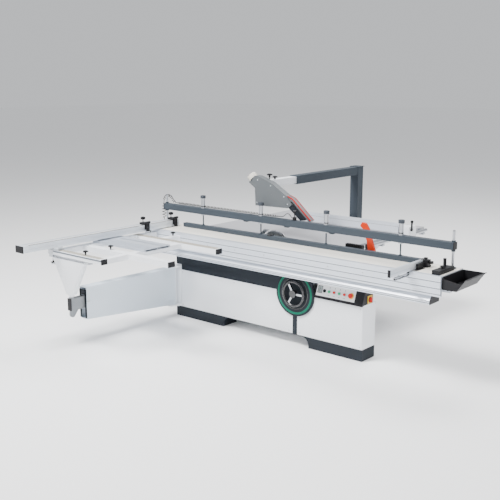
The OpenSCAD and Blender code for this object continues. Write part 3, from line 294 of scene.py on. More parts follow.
class Finishes:
    """Every finish of the machine, built on first use."""

    SHEET_WHITE = Finish("powder_white", (0.86, 0.88, 0.91), (0.80, 0.825, 0.86), 0.42,
                         coat=0.15, grain_scale=900, bump=0.00006)
    SHEET_DARK = Finish("powder_anthracite", (0.016, 0.020, 0.026), (0.026, 0.031, 0.038), 0.5,
                        grain_scale=900, bump=0.00008, gloss=0.15)
    BEAM_GREY = Finish("powder_blue_grey", (0.048, 0.060, 0.074), (0.038, 0.048, 0.060), 0.5,
                       grain_scale=900, bump=0.00008, gloss=0.15)
    ANODISED = Finish("anodised_profile", (0.74, 0.78, 0.84), (0.64, 0.68, 0.75), 0.34, metallic=0.55,
                      grain_scale=260, stretch=(0.02, 1.0, 1.0), bump=0.00003)
    FENCE_ANODISED = Finish("anodised_fence", (0.76, 0.80, 0.85), (0.66, 0.70, 0.76), 0.34, metallic=0.5,
                            grain_scale=260, stretch=(1.0, 0.02, 1.0), bump=0.00003)
    RIBBED_TOP = Finish("ribbed_table_top", (0.86, 0.83, 0.76), (0.78, 0.75, 0.68), 0.45, metallic=0.15,
                        grain_scale=300, stretch=(0.02, 1.0, 1.0), bump=0.0006, ribs=18.0)
    GROUND_IRON = Finish("ground_cast_iron", (0.54, 0.54, 0.565), (0.43, 0.43, 0.455), 0.32,
                         metallic=0.5,
                         grain_scale=320, stretch=(1.0, 0.03, 1.0), bump=0.00003, wear=Wear.USED)
    STEEL = Finish("bright_steel", (0.62, 0.64, 0.67), (0.45, 0.47, 0.50), 0.22, metallic=1.0,
                   grain_scale=500, stretch=(0.1, 1.0, 1.0), bump=0.00002, wear=Wear.USED)
    BLADE = Finish("blade_steel", (0.70, 0.71, 0.73), (0.52, 0.53, 0.56), 0.24,
                   metallic=1.0, grain_scale=420, bump=0.00002)
    CASTING = Finish("painted_casting", (0.07, 0.08, 0.095), (0.04, 0.045, 0.055), 0.55,
                     grain_scale=240, bump=0.0003, wear=Wear.USED, gloss=0.15)
    HOOD = Finish("moulded_hood_grey", (0.105, 0.115, 0.122), (0.085, 0.094, 0.10), 0.38,
                  coat=0.1, grain_scale=700, bump=0.0001, gloss=0.25)
    BLACK = Finish("moulded_black", (0.014, 0.014, 0.016), (0.028, 0.028, 0.03), 0.38,
                   grain_scale=900, bump=0.0001, gloss=0.15)
    GLOSS_BLACK = Finish("gloss_black", (0.012, 0.012, 0.014), (0.02, 0.02, 0.022), 0.16,
                         coat=0.5, bump=0.00002)
    GREEN = Finish("accent_green", (0.004, 0.135, 0.080), (0.003, 0.105, 0.062), 0.4, gloss=0.15)
    GREEN_CAP = Finish("button_green", (0.02, 0.42, 0.18), (0.02, 0.36, 0.15), 0.25,
                       coat=0.3, gloss=0.25)
    RED = Finish("signal_red", (0.62, 0.02, 0.015), (0.52, 0.016, 0.012), 0.28, coat=0.3, gloss=0.25)
    STRIP_RED = Finish("deflector_red", (0.36, 0.010, 0.008), (0.30, 0.008, 0.007), 0.5, gloss=0.25)
    YELLOW = Finish("signal_yellow", (0.80, 0.48, 0.02), (0.72, 0.42, 0.02), 0.35)
    ORANGE = Finish("stick_orange", (0.72, 0.045, 0.008), (0.60, 0.036, 0.007), 0.35,
                    grain_scale=300, bump=0.0002, gloss=0.25)
    LABEL_WHITE = Finish("label_white", (0.82, 0.82, 0.82), (0.76, 0.76, 0.76), 0.3,
                         coat=0.2, bump=0.00001)
    SCREEN = Finish("display_grey", (0.30, 0.34, 0.33), (0.24, 0.28, 0.27), 0.12, coat=0.6, bump=0.00001)
    CREAM = Finish("spout_cream", (0.62, 0.59, 0.52), (0.54, 0.51, 0.45), 0.45,
                   grain_scale=400, bump=0.0001)
    HOSE = Finish("hose_black", (0.008, 0.008, 0.009), (0.014, 0.014, 0.015), 0.55,
                  grain_scale=600, bump=0.00005, gloss=0.15)
    # Swing arm's white paint, darkened and tinted blue as painted shade.
    ARM_WHITE_PAINTED_SHADE = Finish("powder_white_painted_shade", (0.66, 0.735, 0.81), (0.61, 0.685, 0.76), 0.42,
                       coat=0.1, grain_scale=900, bump=0.00006)
    PANEL_SHEET = Finish("brushed_panel", (0.52, 0.56, 0.62), (0.43, 0.47, 0.53), 0.36, metallic=0.4,
                         grain_scale=260, stretch=(0.02, 1.0, 1.0), bump=0.00003)
    # Brown painted shadow for the slot beside the fence's tape.
    SLOT_SHADOW_BROWN = Finish("slot_shadow", (0.085, 0.070, 0.055), (0.06, 0.05, 0.04), 0.5, gloss=0.2)
    TUBE_GREY = Finish("drawn_tube", (0.27, 0.285, 0.30), (0.20, 0.215, 0.23), 0.38, metallic=0.5,
                       grain_scale=260, stretch=(1.0, 0.03, 1.0), bump=0.00003, wear=Wear.USED)
    # Mid grey painted into the profile grooves as their shade; the outer bar's scale strip also uses it.
    GROOVE_SHADE_AND_SCALE = Finish("profile_groove_shade_and_scale", (0.13, 0.15, 0.18), (0.10, 0.12, 0.145), 0.5,
                    stretch=(0.02, 1.0, 1.0), gloss=0.25)
    SLAT = Finish("roller_slat", (0.42, 0.39, 0.33), (0.34, 0.31, 0.26), 0.45, grain_scale=300)
    RUBBER = Finish("belt_rubber", (0.02, 0.02, 0.02), (0.035, 0.035, 0.035), 0.7,
                    grain_scale=500, bump=0.0002, gloss=0.15)

    def __init__(self) -> None:
        """Build the shared groups."""
        self.groups = ShaderGroups()
        self.made: dict[str, Any] = {}

    def get(self, finish: Finish) -> Any:
        """Give the material of a finish.

        Args:
            finish: The finish.

        Returns:
            Its material, built the first time it is asked for.
        """
        if finish.name not in self.made:
            self.made[finish.name] = finish.build(self.groups)
        return self.made[finish.name]


# ---------------------------------------------------------------- piece making


@dataclass
class Workshop:
    """Makes pieces and fixes them to CAD bodies.

    Attributes:
        finishes: The finishes in use.
        nodes: The CAD nodes by name.
        made: Name of every piece made so far.
    """

    finishes: Finishes
    nodes: dict[str, Any]
    made: list[str] = field(default_factory=list)

    def fix(self, name: str, mesh: bmesh.types.BMesh, body: str, finish: Finish,
            bevel: float = 0.0, smooth: bool = True) -> Any:
        """Turn a bmesh into a piece that rides on a body.

        Args:
            name: The piece's name.
            mesh: Its shape, already in place.
            body: The CAD body it rides on.
            finish: Its finish.
            bevel: Width of its edge bevel in millimetres, 0 for none.
            smooth: Whether its faces are shaded smooth.

        Returns:
            The object.
        """
        bmesh.ops.remove_doubles(mesh, verts=mesh.verts, dist=1e-6)
        bmesh.ops.recalc_face_normals(mesh, faces=mesh.faces)
        data = bpy.data.meshes.new(name)
        mesh.to_mesh(data)
        mesh.free()
        data.materials.append(self.finishes.get(finish))
        if smooth:
            data.shade_smooth()
        piece = bpy.data.objects.new(name, data)
        bpy.context.scene.collection.objects.link(piece)
        if bevel or smooth:
            self.soften(piece, bevel, CRISP_ANGLE)
        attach(piece, body)
        self.made.append(name)
        return piece

    def bars(self, name: str, boxes: Sequence[Box], body: str, finish: Finish,
             bevel: float = 0.0, smooth: bool = True) -> None:
        """Make a piece of rectangular bars.

        Args:
            name: The piece's name.
            boxes: Lowest and highest corner of each bar.
            body: The CAD body it rides on.
            finish: Its finish.
            bevel: Width of its edge bevel in millimetres, 0 for none.
            smooth: Whether its faces are shaded smooth.
        """
        mesh = None
        for low, high in boxes:
            mesh = self.bar(place(*low), place(*high), mesh)
        self.fix(name, mesh, body, finish, bevel, smooth)

    def turnings(self, name: str, profile: Profile, spots: Sequence[Point], direction: Vector,
                 steps: int, body: str, finish: Finish) -> None:
        """Make a piece that is one turned profile at several places.

        Args:
            name: The piece's name.
            profile: Radius and distance along the axis of each point, in millimetres.
            spots: The places.
            direction: The axis.
            steps: Steps of the full turn.
            body: The CAD body it rides on.
            finish: Its finish.
        """
        mesh = None
        for spot in spots:
            mesh = self.turned(profile, place(*spot), direction, steps, mesh)
        self.fix(name, mesh, body, finish)

    @staticmethod
    def soften(piece: Any, width: float, angle: float) -> None:
        """Round a piece's edges, or split them so that flat faces shade flat.

        Args:
            piece: The object.
            width: Width of its edge bevel in millimetres, 0 for split edges.
            angle: Edges sharper than this are rounded, in radians.
        """
        if width:
            modifier = piece.modifiers.new("edge", "BEVEL")
            modifier.width = width * MM
            modifier.segments = EDGE_SEGMENTS
            modifier.limit_method = "ANGLE"
            modifier.angle_limit = angle
            modifier.harden_normals = True
        else:
            piece.modifiers.new("crisp", "EDGE_SPLIT").split_angle = CRISP_ANGLE

    @staticmethod
    def spoke(centre: Vector, low: Point, high: Point, angle: float,
              mesh: bmesh.types.BMesh | None = None) -> bmesh.types.BMesh:
        """Make a bar that is turned about an axle across the machine.

        Args:
            centre: The axle.
            low: Lowest corner of the unturned bar from the axle, in millimetres.
            high: Its highest corner.
            angle: How far it is turned, in radians.
            mesh: Mesh to add it to, or None for a new one.

        Returns:
            The mesh.
        """
        part = Workshop.bar(Vector(low) * MM, Vector(high) * MM)
        turn = Matrix.Translation(centre) @ Matrix.Rotation(angle, 4, "Y")
        bmesh.ops.transform(part, matrix=turn, verts=part.verts)
        return Workshop.join(mesh, part)

    @staticmethod
    def bar(low: Vector, high: Vector, mesh: bmesh.types.BMesh | None = None) -> bmesh.types.BMesh:
        """Make a rectangular bar between two corners.

        Args:
            low: Lowest corner.
            high: Highest corner.
            mesh: Mesh to add it to, or None for a new one.

        Returns:
            The mesh.
        """
        mesh = mesh or bmesh.new()
        size = high - low
        matrix = Matrix.Translation((low + high) / 2) @ Matrix.Diagonal((*size, 1.0))
        bmesh.ops.create_cube(mesh, size=1.0, matrix=matrix)
        return mesh

    @staticmethod
    def turned(profile: Sequence[tuple[float, float]], centre: Vector, direction: Vector,
               steps: int = 40, mesh: bmesh.types.BMesh | None = None) -> bmesh.types.BMesh:
        """Spin a profile about an axis.

        Args:
            profile: Radius and distance along the axis of each point, in millimetres.
            centre: Where distance 0 lies.
            direction: The axis.
            steps: Steps of the full turn.
            mesh: Mesh to add it to, or None for a new one.

        Returns:
            The mesh.
        """
        part = bmesh.new()
        verts = [part.verts.new((r * MM, 0.0, d * MM)) for r, d in profile]
        edges = [part.edges.new(pair) for pair in zip(verts, verts[1:])]
        bmesh.ops.spin(part, geom=verts + edges, cent=(0, 0, 0), axis=(0, 0, 1),
                       angle=math.tau, steps=steps, use_merge=True)
        bmesh.ops.remove_doubles(part, verts=part.verts, dist=1e-7)
        turn = UP.rotation_difference(direction.normalized()).to_matrix().to_4x4()
        bmesh.ops.transform(part, matrix=Matrix.Translation(centre) @ turn, verts=part.verts)
        return Workshop.join(mesh, part)

    @staticmethod
    def join(mesh: bmesh.types.BMesh | None, part: bmesh.types.BMesh) -> bmesh.types.BMesh:
        """Add one mesh to another.

        Args:
            mesh: Mesh that grows, or None.
            part: Mesh that is added.

        Returns:
            The joined mesh.
        """
        if mesh is None:
            return part
        data = bpy.data.meshes.new("joined")
        part.to_mesh(data)
        part.free()
        mesh.from_mesh(data)
        bpy.data.meshes.remove(data)
        return mesh

    @staticmethod
    def extruded(corners: Sequence[Vector], reach: Vector,
                 mesh: bmesh.types.BMesh | None = None) -> bmesh.types.BMesh:
        """Push a flat outline out into a solid.

        Args:
            corners: The outline's corners.
            reach: How far and where to it is pushed.
            mesh: Mesh to add it to, or None for a new one.

        Returns:
            The mesh.
        """
        part = bmesh.new()
        face = part.faces.new([part.verts.new(corner) for corner in corners])
        grown = bmesh.ops.extrude_face_region(part, geom=[face])
        moved = [v for v in grown["geom"] if isinstance(v, bmesh.types.BMVert)]
        bmesh.ops.translate(part, verts=moved, vec=reach)
        return Workshop.join(mesh, part)

    @staticmethod
    def slab(outline: Sequence[tuple[float, float]], y0: float, y1: float,
             mesh: bmesh.types.BMesh | None = None) -> bmesh.types.BMesh:
        """Extrude an outline drawn along and up across the machine.

        Args:
            outline: Along and up of each corner, in millimetres.
            y0: Nearer face, from the front plane.
            y1: Farther face.
            mesh: Mesh to add it to, or None for a new one.

        Returns:
            The mesh.
        """
        corners = [place(x, y0, z) for x, z in outline]
        return Workshop.extruded(corners, Vector((0, (y1 - y0) * MM, 0)), mesh)

    def dress(self, node: str, finish: Finish, round_edges: float = 0.0) -> None:
        """Give a CAD node its finish and soft shading.

        Args:
            node: The CAD node.
            finish: Its finish.
            round_edges: Width of an edge bevel in millimetres, 0 for none.
        """
        piece = self.nodes[node]
        piece.data.materials.clear()
        piece.data.materials.append(self.finishes.get(finish))
        piece.data.shade_smooth()
        weld = piece.modifiers.new("weld", "WELD")
        weld.merge_threshold = WELD_GAP
        self.soften(piece, round_edges, ROUNDED_ANGLE)


class Dressing:
    """The finish of every CAD node."""

    FINISH_OF: dict[str, Finish] = {
        "base_frame": Finishes.SHEET_DARK, "cabinet_shell": Finishes.SHEET_WHITE,
        "rear_body": Finishes.SHEET_WHITE, "left_front_cover": Finishes.SHEET_WHITE,
        "right_front_cover": Finishes.SHEET_WHITE, "fascia": Finishes.SHEET_DARK,
        "control_housing": Finishes.BLACK, "guide_beam": Finishes.ANODISED,
        "main_table": Finishes.GROUND_IRON, "table_insert": Finishes.STEEL,
        "extension_table": Finishes.GROUND_IRON, "table_struts": Finishes.SHEET_WHITE,
        "trunnions": Finishes.CASTING, "rip_rail": Finishes.STEEL, "stick_holder": Finishes.BLACK,
        "gantry_post": Finishes.BEAM_GREY, "gantry_arm": Finishes.BEAM_GREY,
        "handwheel": Finishes.GLOSS_BLACK, "selector_knob": Finishes.BLACK,
        "start_button": Finishes.GREEN_CAP, "stop_button": Finishes.RED,
        "scoring_start_button": Finishes.GREEN_CAP, "scoring_stop_button": Finishes.RED,
        "emergency_button": Finishes.RED, "main_switch": Finishes.RED,
        "tilt_frame": Finishes.CASTING, "arbor_carrier": Finishes.CASTING,
        "main_motor": Finishes.CASTING, "riving_knife": Finishes.STEEL, "arbor": Finishes.STEEL,
        "main_blade": Finishes.BLADE, "motor_pulley": Finishes.STEEL, "drive_belt": Finishes.RUBBER,
        "scoring_unit": Finishes.CASTING, "scoring_blade": Finishes.BLADE,
        "rip_head": Finishes.SHEET_WHITE, "rip_fence": Finishes.ANODISED, "rip_lever": Finishes.BLACK,
        "push_stick": Finishes.ORANGE, "gantry_tube": Finishes.SHEET_WHITE,
        "blade_hood": Finishes.HOOD, "swing_arm": Finishes.ARM_WHITE_PAINTED_SHADE, "arm_tube": Finishes.TUBE_GREY,
        "support_post": Finishes.SHEET_WHITE, "roller_cages": Finishes.STEEL,
        "carriage": Finishes.ANODISED, "outrigger_frame": Finishes.SHEET_WHITE,
        "outrigger_panel": Finishes.PANEL_SHEET, "support_rod": Finishes.STEEL,
        "crosscut_fence": Finishes.FENCE_ANODISED, "fence_extension": Finishes.FENCE_ANODISED,
        "outer_flip_stop": Finishes.BLACK, "inner_flip_stop": Finishes.BLACK,
        "pressure_beam": Finishes.BEAM_GREY, "air_cylinders": Finishes.STEEL,
        "pressure_rail": Finishes.BEAM_GREY, "front_stop": Finishes.FENCE_ANODISED,
        "stop_clamp": Finishes.BLACK, "end_tray": Finishes.BLACK}
    ROUNDED = ("left_front_cover", "right_front_cover", "swing_arm", "support_post", "fascia")

    def apply(self, workshop: Workshop) -> None:
        """Dress every CAD node that stays visible.

        Args:
            workshop: Where the nodes and finishes are.
        """
        for node, finish in self.FINISH_OF.items():
            workshop.dress(node, finish, 1.5 if node in self.ROUNDED else 0.0)


# ---------------------------------------------------------------- sub-assemblies


@dataclass
class AirHose:
    """The curly air hose between the carriage's fitting and the hand valve.

    Attributes:
        radius: Radius of the hose itself, mm.
        upright_turn: Middle radius of the upright coil, mm.
        bow_turn: Middle radius of the bow over the beam's end, mm.
        fine_turn: Middle radius of the long coil on the beam, mm.
        upright_turns: Turns of the upright coil.
        bow_turns: Turns along the bow.
        fine_turns: Turns of the long coil.
        steps: Points to a turn.
        fitting: Where it leaves the fitting.
        upright: Foot of the upright coil.
        upright_rise: Height of the upright coil, mm.
        coil: Start of the long coil.
        coil_length: Length of the long coil, mm.
        bow: Middle line of the bow.
        valve_bow: The plain end that runs down into the valve.
    """

    radius: float = 3.0
    upright_turn: float = 18.0
    bow_turn: float = 11.0
    fine_turn: float = 7.5
    upright_turns: int = 6
    bow_turns: int = 10
    fine_turns: int = 70
    steps: int = 14
    fitting: Point = (-1440, 190, 905)
    upright: Point = (-1440, 190, 914)
    upright_rise: float = 172.0
    coil: Point = (-1290, 224, 1092)
    coil_length: float = 1330.0
    bow: tuple[Point, ...] = (
        (-1440, 191, 1104), (-1439, 195, 1122), (-1432, 203, 1140), (-1418, 211, 1153),
        (-1400, 218, 1158), (-1382, 222, 1153), (-1366, 224, 1140), (-1352, 224, 1122),
        (-1336, 224, 1106), (-1318, 224, 1097), (-1300, 224, 1092))
    valve_bow: tuple[Point, ...] = (
        (72, 224, 1094), (90, 224, 1102), (104, 223, 1114), (120, 221, 1125), (138, 217, 1129),
        (156, 212, 1126), (172, 206, 1118), (188, 199, 1108), (204, 192, 1100), (221.6, 190, 1098))

    def wind(self, turns: int, ease: float, radius: float) -> list[Point]:
        """Step along a coil that widens at its start and narrows at its end.

        Args:
            turns: Turns of the coil.
            ease: Part of the coil in which it widens, as one over that part.
            radius: Its middle radius, mm.

        Returns:
            How far along each step lies, from 0 to 1, and its two offsets from the middle line.
        """
        wound: list[Point] = []
        for i in range(turns * self.steps + 1):
            t = i / (turns * self.steps)
            reach = radius * min(1.0, ease * t, ease * (1 - t))
            angle = math.tau * turns * t
            wound.append((t, reach * math.cos(angle), reach * math.sin(angle)))
        return wound

    def bow_coil(self) -> list[Point]:
        """Wind the bow that leads from the upright coil over the beam's end.

        Returns:
            Points in millimetres from the front plane.
        """
        line = [Vector(p) for p in self.bow]
        spans = [(b - a).length for a, b in zip(line, line[1:])]
        total = sum(spans)
        points: list[Point] = []
        for t, outwards, sideways in self.wind(self.bow_turns, 8, self.bow_turn):
            rest, k = t * total, 0
            while k < len(spans) - 1 and rest > spans[k]:
                rest -= spans[k]
                k += 1
            along = (line[k + 1] - line[k]).normalized()
            outward = along.cross(BACK).normalized()
            points.append(tuple(line[k] + along * rest + outward * outwards + BACK * sideways))
        return points

    def route(self) -> list[Vector]:
        """Work out the hose's centre line.

        Returns:
            Points in the row frame from the fitting to the valve.
        """
        x, y, z = self.fitting
        points: list[Point] = [self.fitting, (x, y, z + 4)]
        x, y, z = self.upright
        points.extend((x + a, y + b, z + self.upright_rise * t)
                      for t, a, b in self.wind(self.upright_turns, 6, self.upright_turn))
        points.append((x, y + 0.5, z + self.upright_rise + 11))
        points.extend(self.bow_coil())
        x, y, z = self.coil
        points.extend((x + self.coil_length * t, y + a, z + b)
                      for t, a, b in self.wind(self.fine_turns, 30, self.fine_turn))
        points.extend(self.valve_bow)
        return [place(*p) for p in points]

    def build(self, workshop: Workshop) -> None:
        """Args:
            workshop: Where pieces are made.
        """
        route = self.route()
        curve = bpy.data.curves.new("air_hose_line", "CURVE")
        curve.dimensions = "3D"
        curve.bevel_depth = self.radius * MM
        curve.bevel_resolution = 2
        curve.use_fill_caps = True
        spline = curve.splines.new("POLY")
        spline.points.add(len(route) - 1)
        for point, at in zip(spline.points, route):
            point.co = (*at, 1.0)
        spline.use_smooth = True
        hose = bpy.data.objects.new("curly_hose", curve)
        bpy.context.scene.collection.objects.link(hose)
        curve.materials.append(workshop.finishes.get(Finishes.HOSE))
        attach(hose, "sliding_table")
        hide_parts("air_hose")


@dataclass
class ControlPanel:
    """Label, display, bezels and the switch plate of the control housing.

    Attributes:
        lean: Angle of the sloping face above the horizontal, degrees.
        foot: Across and up of the face's lower edge, mm.
        label: Left, right, lower and upper edge of the label on the face, mm.
        window: The same edges of the display.
        frame: The same edges of each side of the display's frame.
        middle: Distance of the button row up the face, mm.
        buttons: Along of each push button, mm.
        emergency: Along of the emergency button, mm.
        switch: Middle of the main switch on the cabinet's end.
        switch_half: Half the side of the switch plate, mm.
        switch_thick: Thickness of the switch plate, mm.
    """

    lean: float = 68.84
    foot: Pair = (-14, 479)
    label: Edges = (618, 1008, 24, 138)
    window: Edges = (632, 672, 52, 108)
    frame: tuple[Edges, ...] = ((628, 676, 48, 52), (628, 676, 108, 112),
                                (628, 632, 52, 108), (672, 676, 52, 108))
    middle: float = 72.0
    buttons: tuple[float, ...] = (748, 800, 852, 904)
    emergency: float = 968.0
    switch: Point = (1091.3, 104, 521)
    switch_half: float = 34.0
    switch_thick: float = 2.5

    def spot(self, u: float, s: float, out: float) -> Vector:
        """Find a place on the sloping face.

        Args:
            u: Distance along the machine, mm.
            s: Distance up the face, mm.
            out: Distance off the face, mm.

        Returns:
            The place in the row frame.
        """
        lean = math.radians(self.lean)
        y = self.foot[0] + s * math.cos(lean) - out * math.sin(lean)
        z = self.foot[1] + s * math.sin(lean) + out * math.cos(lean)
        return place(u, y, z)

    def plate(self, edges: Edges, out: float, thick: float,
              mesh: bmesh.types.BMesh | None = None) -> bmesh.types.BMesh:
        """Make a thin plate that lies on the sloping face.

        Args:
            edges: Its left, right, lower and upper edge.
            out: Height of its back over the face.
            thick: Its thickness.
            mesh: Mesh to add it to, or None for a new one.

        Returns:
            The mesh.
        """
        u0, u1, s0, s1 = edges
        corners = [self.spot(u, s, out) for u, s in ((u0, s0), (u1, s0), (u1, s1), (u0, s1))]
        return Workshop.extruded(corners, self.spot(0, 0, thick) - self.spot(0, 0, 0), mesh)

    def build(self, workshop: Workshop) -> None:
        """Make the panel's pieces.

        Args:
            workshop: Where pieces are made.
        """
        out = self.spot(0, 0, 1) - self.spot(0, 0, 0)
        workshop.fix("panel_label", self.plate(self.label, 0.2, 1.0), "machine",
                     Finishes.LABEL_WHITE, 0.4)
        frame = None
        for edges in self.frame:
            frame = self.plate(edges, 1.3, 1.6, frame)
        workshop.fix("display_frame", frame, "machine", Finishes.BLACK, 0.3)
        workshop.fix("display_window", self.plate(self.window, 1.3, 0.8), "machine",
                     Finishes.SCREEN)
        marks = None
        for row in range(4):
            low = 62 + row * 11
            marks = self.plate((637, 660 - 5 * (row % 2), low, low + 3), 2.2, 0.3, marks)
        workshop.fix("display_bars", marks, "machine", Finishes.GLOSS_BLACK)
        ring = ((11.6, 1.3), (15, 1.3), (15, 3.6), (13.4, 4.4), (11.6, 4.4), (11.6, 1.3))
        bezels = None
        for u in self.buttons:
            bezels = workshop.turned(ring, self.spot(u, self.middle, 0), out, 32, bezels)
        workshop.fix("button_bezels", bezels, "machine", Finishes.STEEL)
        collar = ((7.6, 1.3), (26, 1.3), (26, 2.1), (24.5, 2.7), (7.6, 2.7), (7.6, 1.3))
        workshop.fix("emergency_collar",
                     workshop.turned(collar, self.spot(self.emergency, self.middle, 0), out, 40),
                     "machine", Finishes.YELLOW)
        dot = ((0, 1.2), (4, 1.2), (4, 1.5), (0, 1.5))
        dots = None
        for u in self.buttons:
            dots = workshop.turned(dot, self.spot(u, 106, 0), out, 20, dots)
            dots = self.plate((u - 9, u + 9, 40, 42.5), 1.2, 0.3, dots)
        workshop.fix("label_marks", dots, "machine", Finishes.BEAM_GREY)
        self.build_switch(workshop)

    def build_switch(self, workshop: Workshop) -> None:
        """Make the yellow plate and the ring of the main switch.

        Args:
            workshop: Where pieces are made.
        """
        x, y, z = self.switch
        half, front = self.switch_half, x + self.switch_thick
        workshop.bars("switch_plate", [((x, y - half, z - half), (front, y + half, z + half))],
                      "machine", Finishes.YELLOW, 0.6)
        ring = ((22.5, 0), (24, 0), (24, 6), (22.5, 6), (22.5, 0))
        workshop.turnings("switch_ring", ring, [(front, y, z)], RIGHT, 40,
                          "machine", Finishes.BLACK)


@dataclass
class FasciaTrim:
    """The green ring on the boss and the small fixings on the covers.

    Attributes:
        boss: Middle of the boss's face.
        inner: Inner radius of the green ring, mm.
        outer: Outer radius of the green ring, mm.
        ring_top: Height at which the fascia's edge cuts the ring, mm.
        screws: Along and up of the cover screws.
        seams: The dark seams between fascia and covers.
    """

    boss: Point = (398, -14, 476)
    inner: float = 168.0
    outer: float = 186.0
    ring_top: float = 633.0
    screws: Profile = ((-995, 125), (-995, 455), (-320, 125), (-320, 455), (330, 125), (450, 125),
                       (1070, 125), (1070, 455))
    seams: tuple[Box, ...] = (((-1078, -0.8, 540), (-1076, 0.2, 634)),
                              ((586, -0.8, 482), (588, 0.2, 634)))

    def build(self, workshop: Workshop) -> None:
        """Make the ring, the well's rim and the cover screws.

        Args:
            workshop: Where pieces are made.
        """
        ring = ((self.inner, 0.1), (self.inner, 1.6), (self.inner + 2, 2.4), (self.outer - 2, 2.4),
                (self.outer, 1.6), (self.outer, 0.1), (self.inner, 0.1))
        mesh = workshop.turned(ring, place(*self.boss), FRONT, 96)
        bmesh.ops.bisect_plane(mesh, geom=mesh.verts[:] + mesh.edges[:] + mesh.faces[:],
                               plane_co=place(0, 0, self.ring_top), plane_no=UP, clear_outer=True)
        bmesh.ops.holes_fill(mesh, edges=mesh.edges)
        workshop.fix("boss_ring", mesh, "machine", Finishes.GREEN)
        rim = ((134, 0.1), (134, 2.2), (137, 3.2), (142, 1.6), (143, 0.1), (134, 0.1))
        workshop.turnings("well_rim", rim, [self.boss], FRONT, 96,
                          "machine", Finishes.GLOSS_BLACK)
        head = ((0, 2.2), (3.4, 2.0), (5.5, 1.0), (5.8, 0.1), (0, 0.1))
        workshop.turnings("cover_screws", head, [(x, 0, z) for x, z in self.screws], FRONT, 20,
                          "machine", Finishes.STEEL)
        workshop.bars("fascia_seams", self.seams, "machine", Finishes.GLOSS_BLACK)


@dataclass
class WheelGrip:
    """The handwheel's grip ribs, hub cap and bright spoke faces.

    Attributes:
        centre: Middle of the wheel.
        radius: Its outer radius, mm.
        tube: Radius of its rim tube, mm.
        spokes: Angle of each spoke, degrees.
        ribs: Ribs around the rim.
    """

    centre: Point = (398, -30, 476)
    radius: float = 120.0
    tube: float = 12.0
    spokes: tuple[float, ...] = (90, 210, 330)
    ribs: int = 24

    def build(self, workshop: Workshop) -> None:
        """Make the wheel's details.

        Args:
            workshop: Where pieces are made.
        """
        centre = place(*self.centre)
        cap = ((0, 13.5), (14, 13), (22, 11.4), (26, 10.2), (26, 9), (0, 9))
        workshop.turnings("wheel_cap", cap, [self.centre], FRONT, 48,
                          "handwheel", Finishes.STEEL)
        faces = None
        for angle in self.spokes:
            faces = workshop.spoke(centre, (-8.5, -9.2, 34), (8.5, -6.8, 94),
                                   math.radians(angle), faces)
        workshop.fix("spoke_faces", faces, "handwheel", Finishes.STEEL, 1.0)
        rib = ((11.6, -1.6), (12.5, -0.8), (12.5, 0.8), (11.6, 1.6))
        band = None
        for i in range(self.ribs):
            a = math.tau * i / self.ribs
            spot = centre + Vector((math.sin(a), 0, math.cos(a))) * (self.radius - self.tube) * MM
            band = workshop.turned(rib, spot, Vector((math.cos(a), 0, -math.sin(a))), 20, band)
        workshop.fix("rim_ribs", band, "handwheel", Finishes.BLACK)


@dataclass
class ProfileEnds:
    """Plastic caps and inlays of the aluminium and steel profiles.

    Attributes:
        top: The carriage's ribbed top.
        guide_outline: Across and up of the guide beam's caps.
        guide_ends: Along of both faces of each guide cap.
        outrigger_ends: Along, nearer and farther edge of each outrigger cap.
        fence_end: The cap of the fence's extension.
        beam_ends: Both caps of the clamping beam.
        rail_ends: Both caps of the clamping rail.
        stop_end: The cap of the front stop.
    """

    top: Box = ((-1408, -68, 870), (1829, 258, 870.9))
    guide_outline: Profile = ((-106, 635.5), (-106, 669), (-73, 703), (47, 703), (47, 635.5))
    guide_ends: Profile = ((1742.2, 1747), (-1375, -1370.2))
    outrigger_ends: tuple[Point, ...] = ((-205, -373, -299), (-148, -1011, -937),
                                         (-642, -1301, -1239))
    fence_end: Box = ((-1310.5, -1669, 878.5), (-1205.5, -1659.6, 938.5))
    beam_ends: tuple[Box, ...] = (((-1416.5, 159, 1021), (-1411, 221, 1081)),
                                  ((1784, 159, 1021), (1789, 221, 1081)))
    rail_ends: tuple[Box, ...] = (((-1139, 164, 870.8), (-1134, 216, 911)),
                                  ((1560, 164, 870.8), (1565, 216, 911)))
    stop_end: Box = ((1547.5, -403, 873.5), (1571.5, -399.6, 930.5))

    def build(self, workshop: Workshop) -> None:
        """Make the end caps and the carriage's top.

        Args:
            workshop: Where pieces are made.
        """
        workshop.bars("carriage_top", [self.top], "sliding_table", Finishes.RIBBED_TOP)
        guide = None
        for x0, x1 in self.guide_ends:
            corners = [place(x0, y, z) for y, z in self.guide_outline]
            guide = workshop.extruded(corners, RIGHT * (x1 - x0) * MM, guide)
        workshop.fix("guide_caps", guide, "machine", Finishes.BLACK, 0.8)
        outriggers = [((x - 1, y0, 799), (x + 9, y1, 846)) for x, y0, y1 in self.outrigger_ends]
        for name, boxes, body, bevel in (
                ("outrigger_caps", outriggers, "sliding_table", 1.2),
                ("fence_cap", [self.fence_end], "fence_extension", 1.5),
                ("beam_caps", self.beam_ends, "sliding_table", 1.0),
                ("rail_caps", self.rail_ends, "pressure_rail", 1.0),
                ("front_stop_cap", [self.stop_end], "front_stop", 0.8)):
            workshop.bars(name, boxes, body, Finishes.BLACK, bevel)


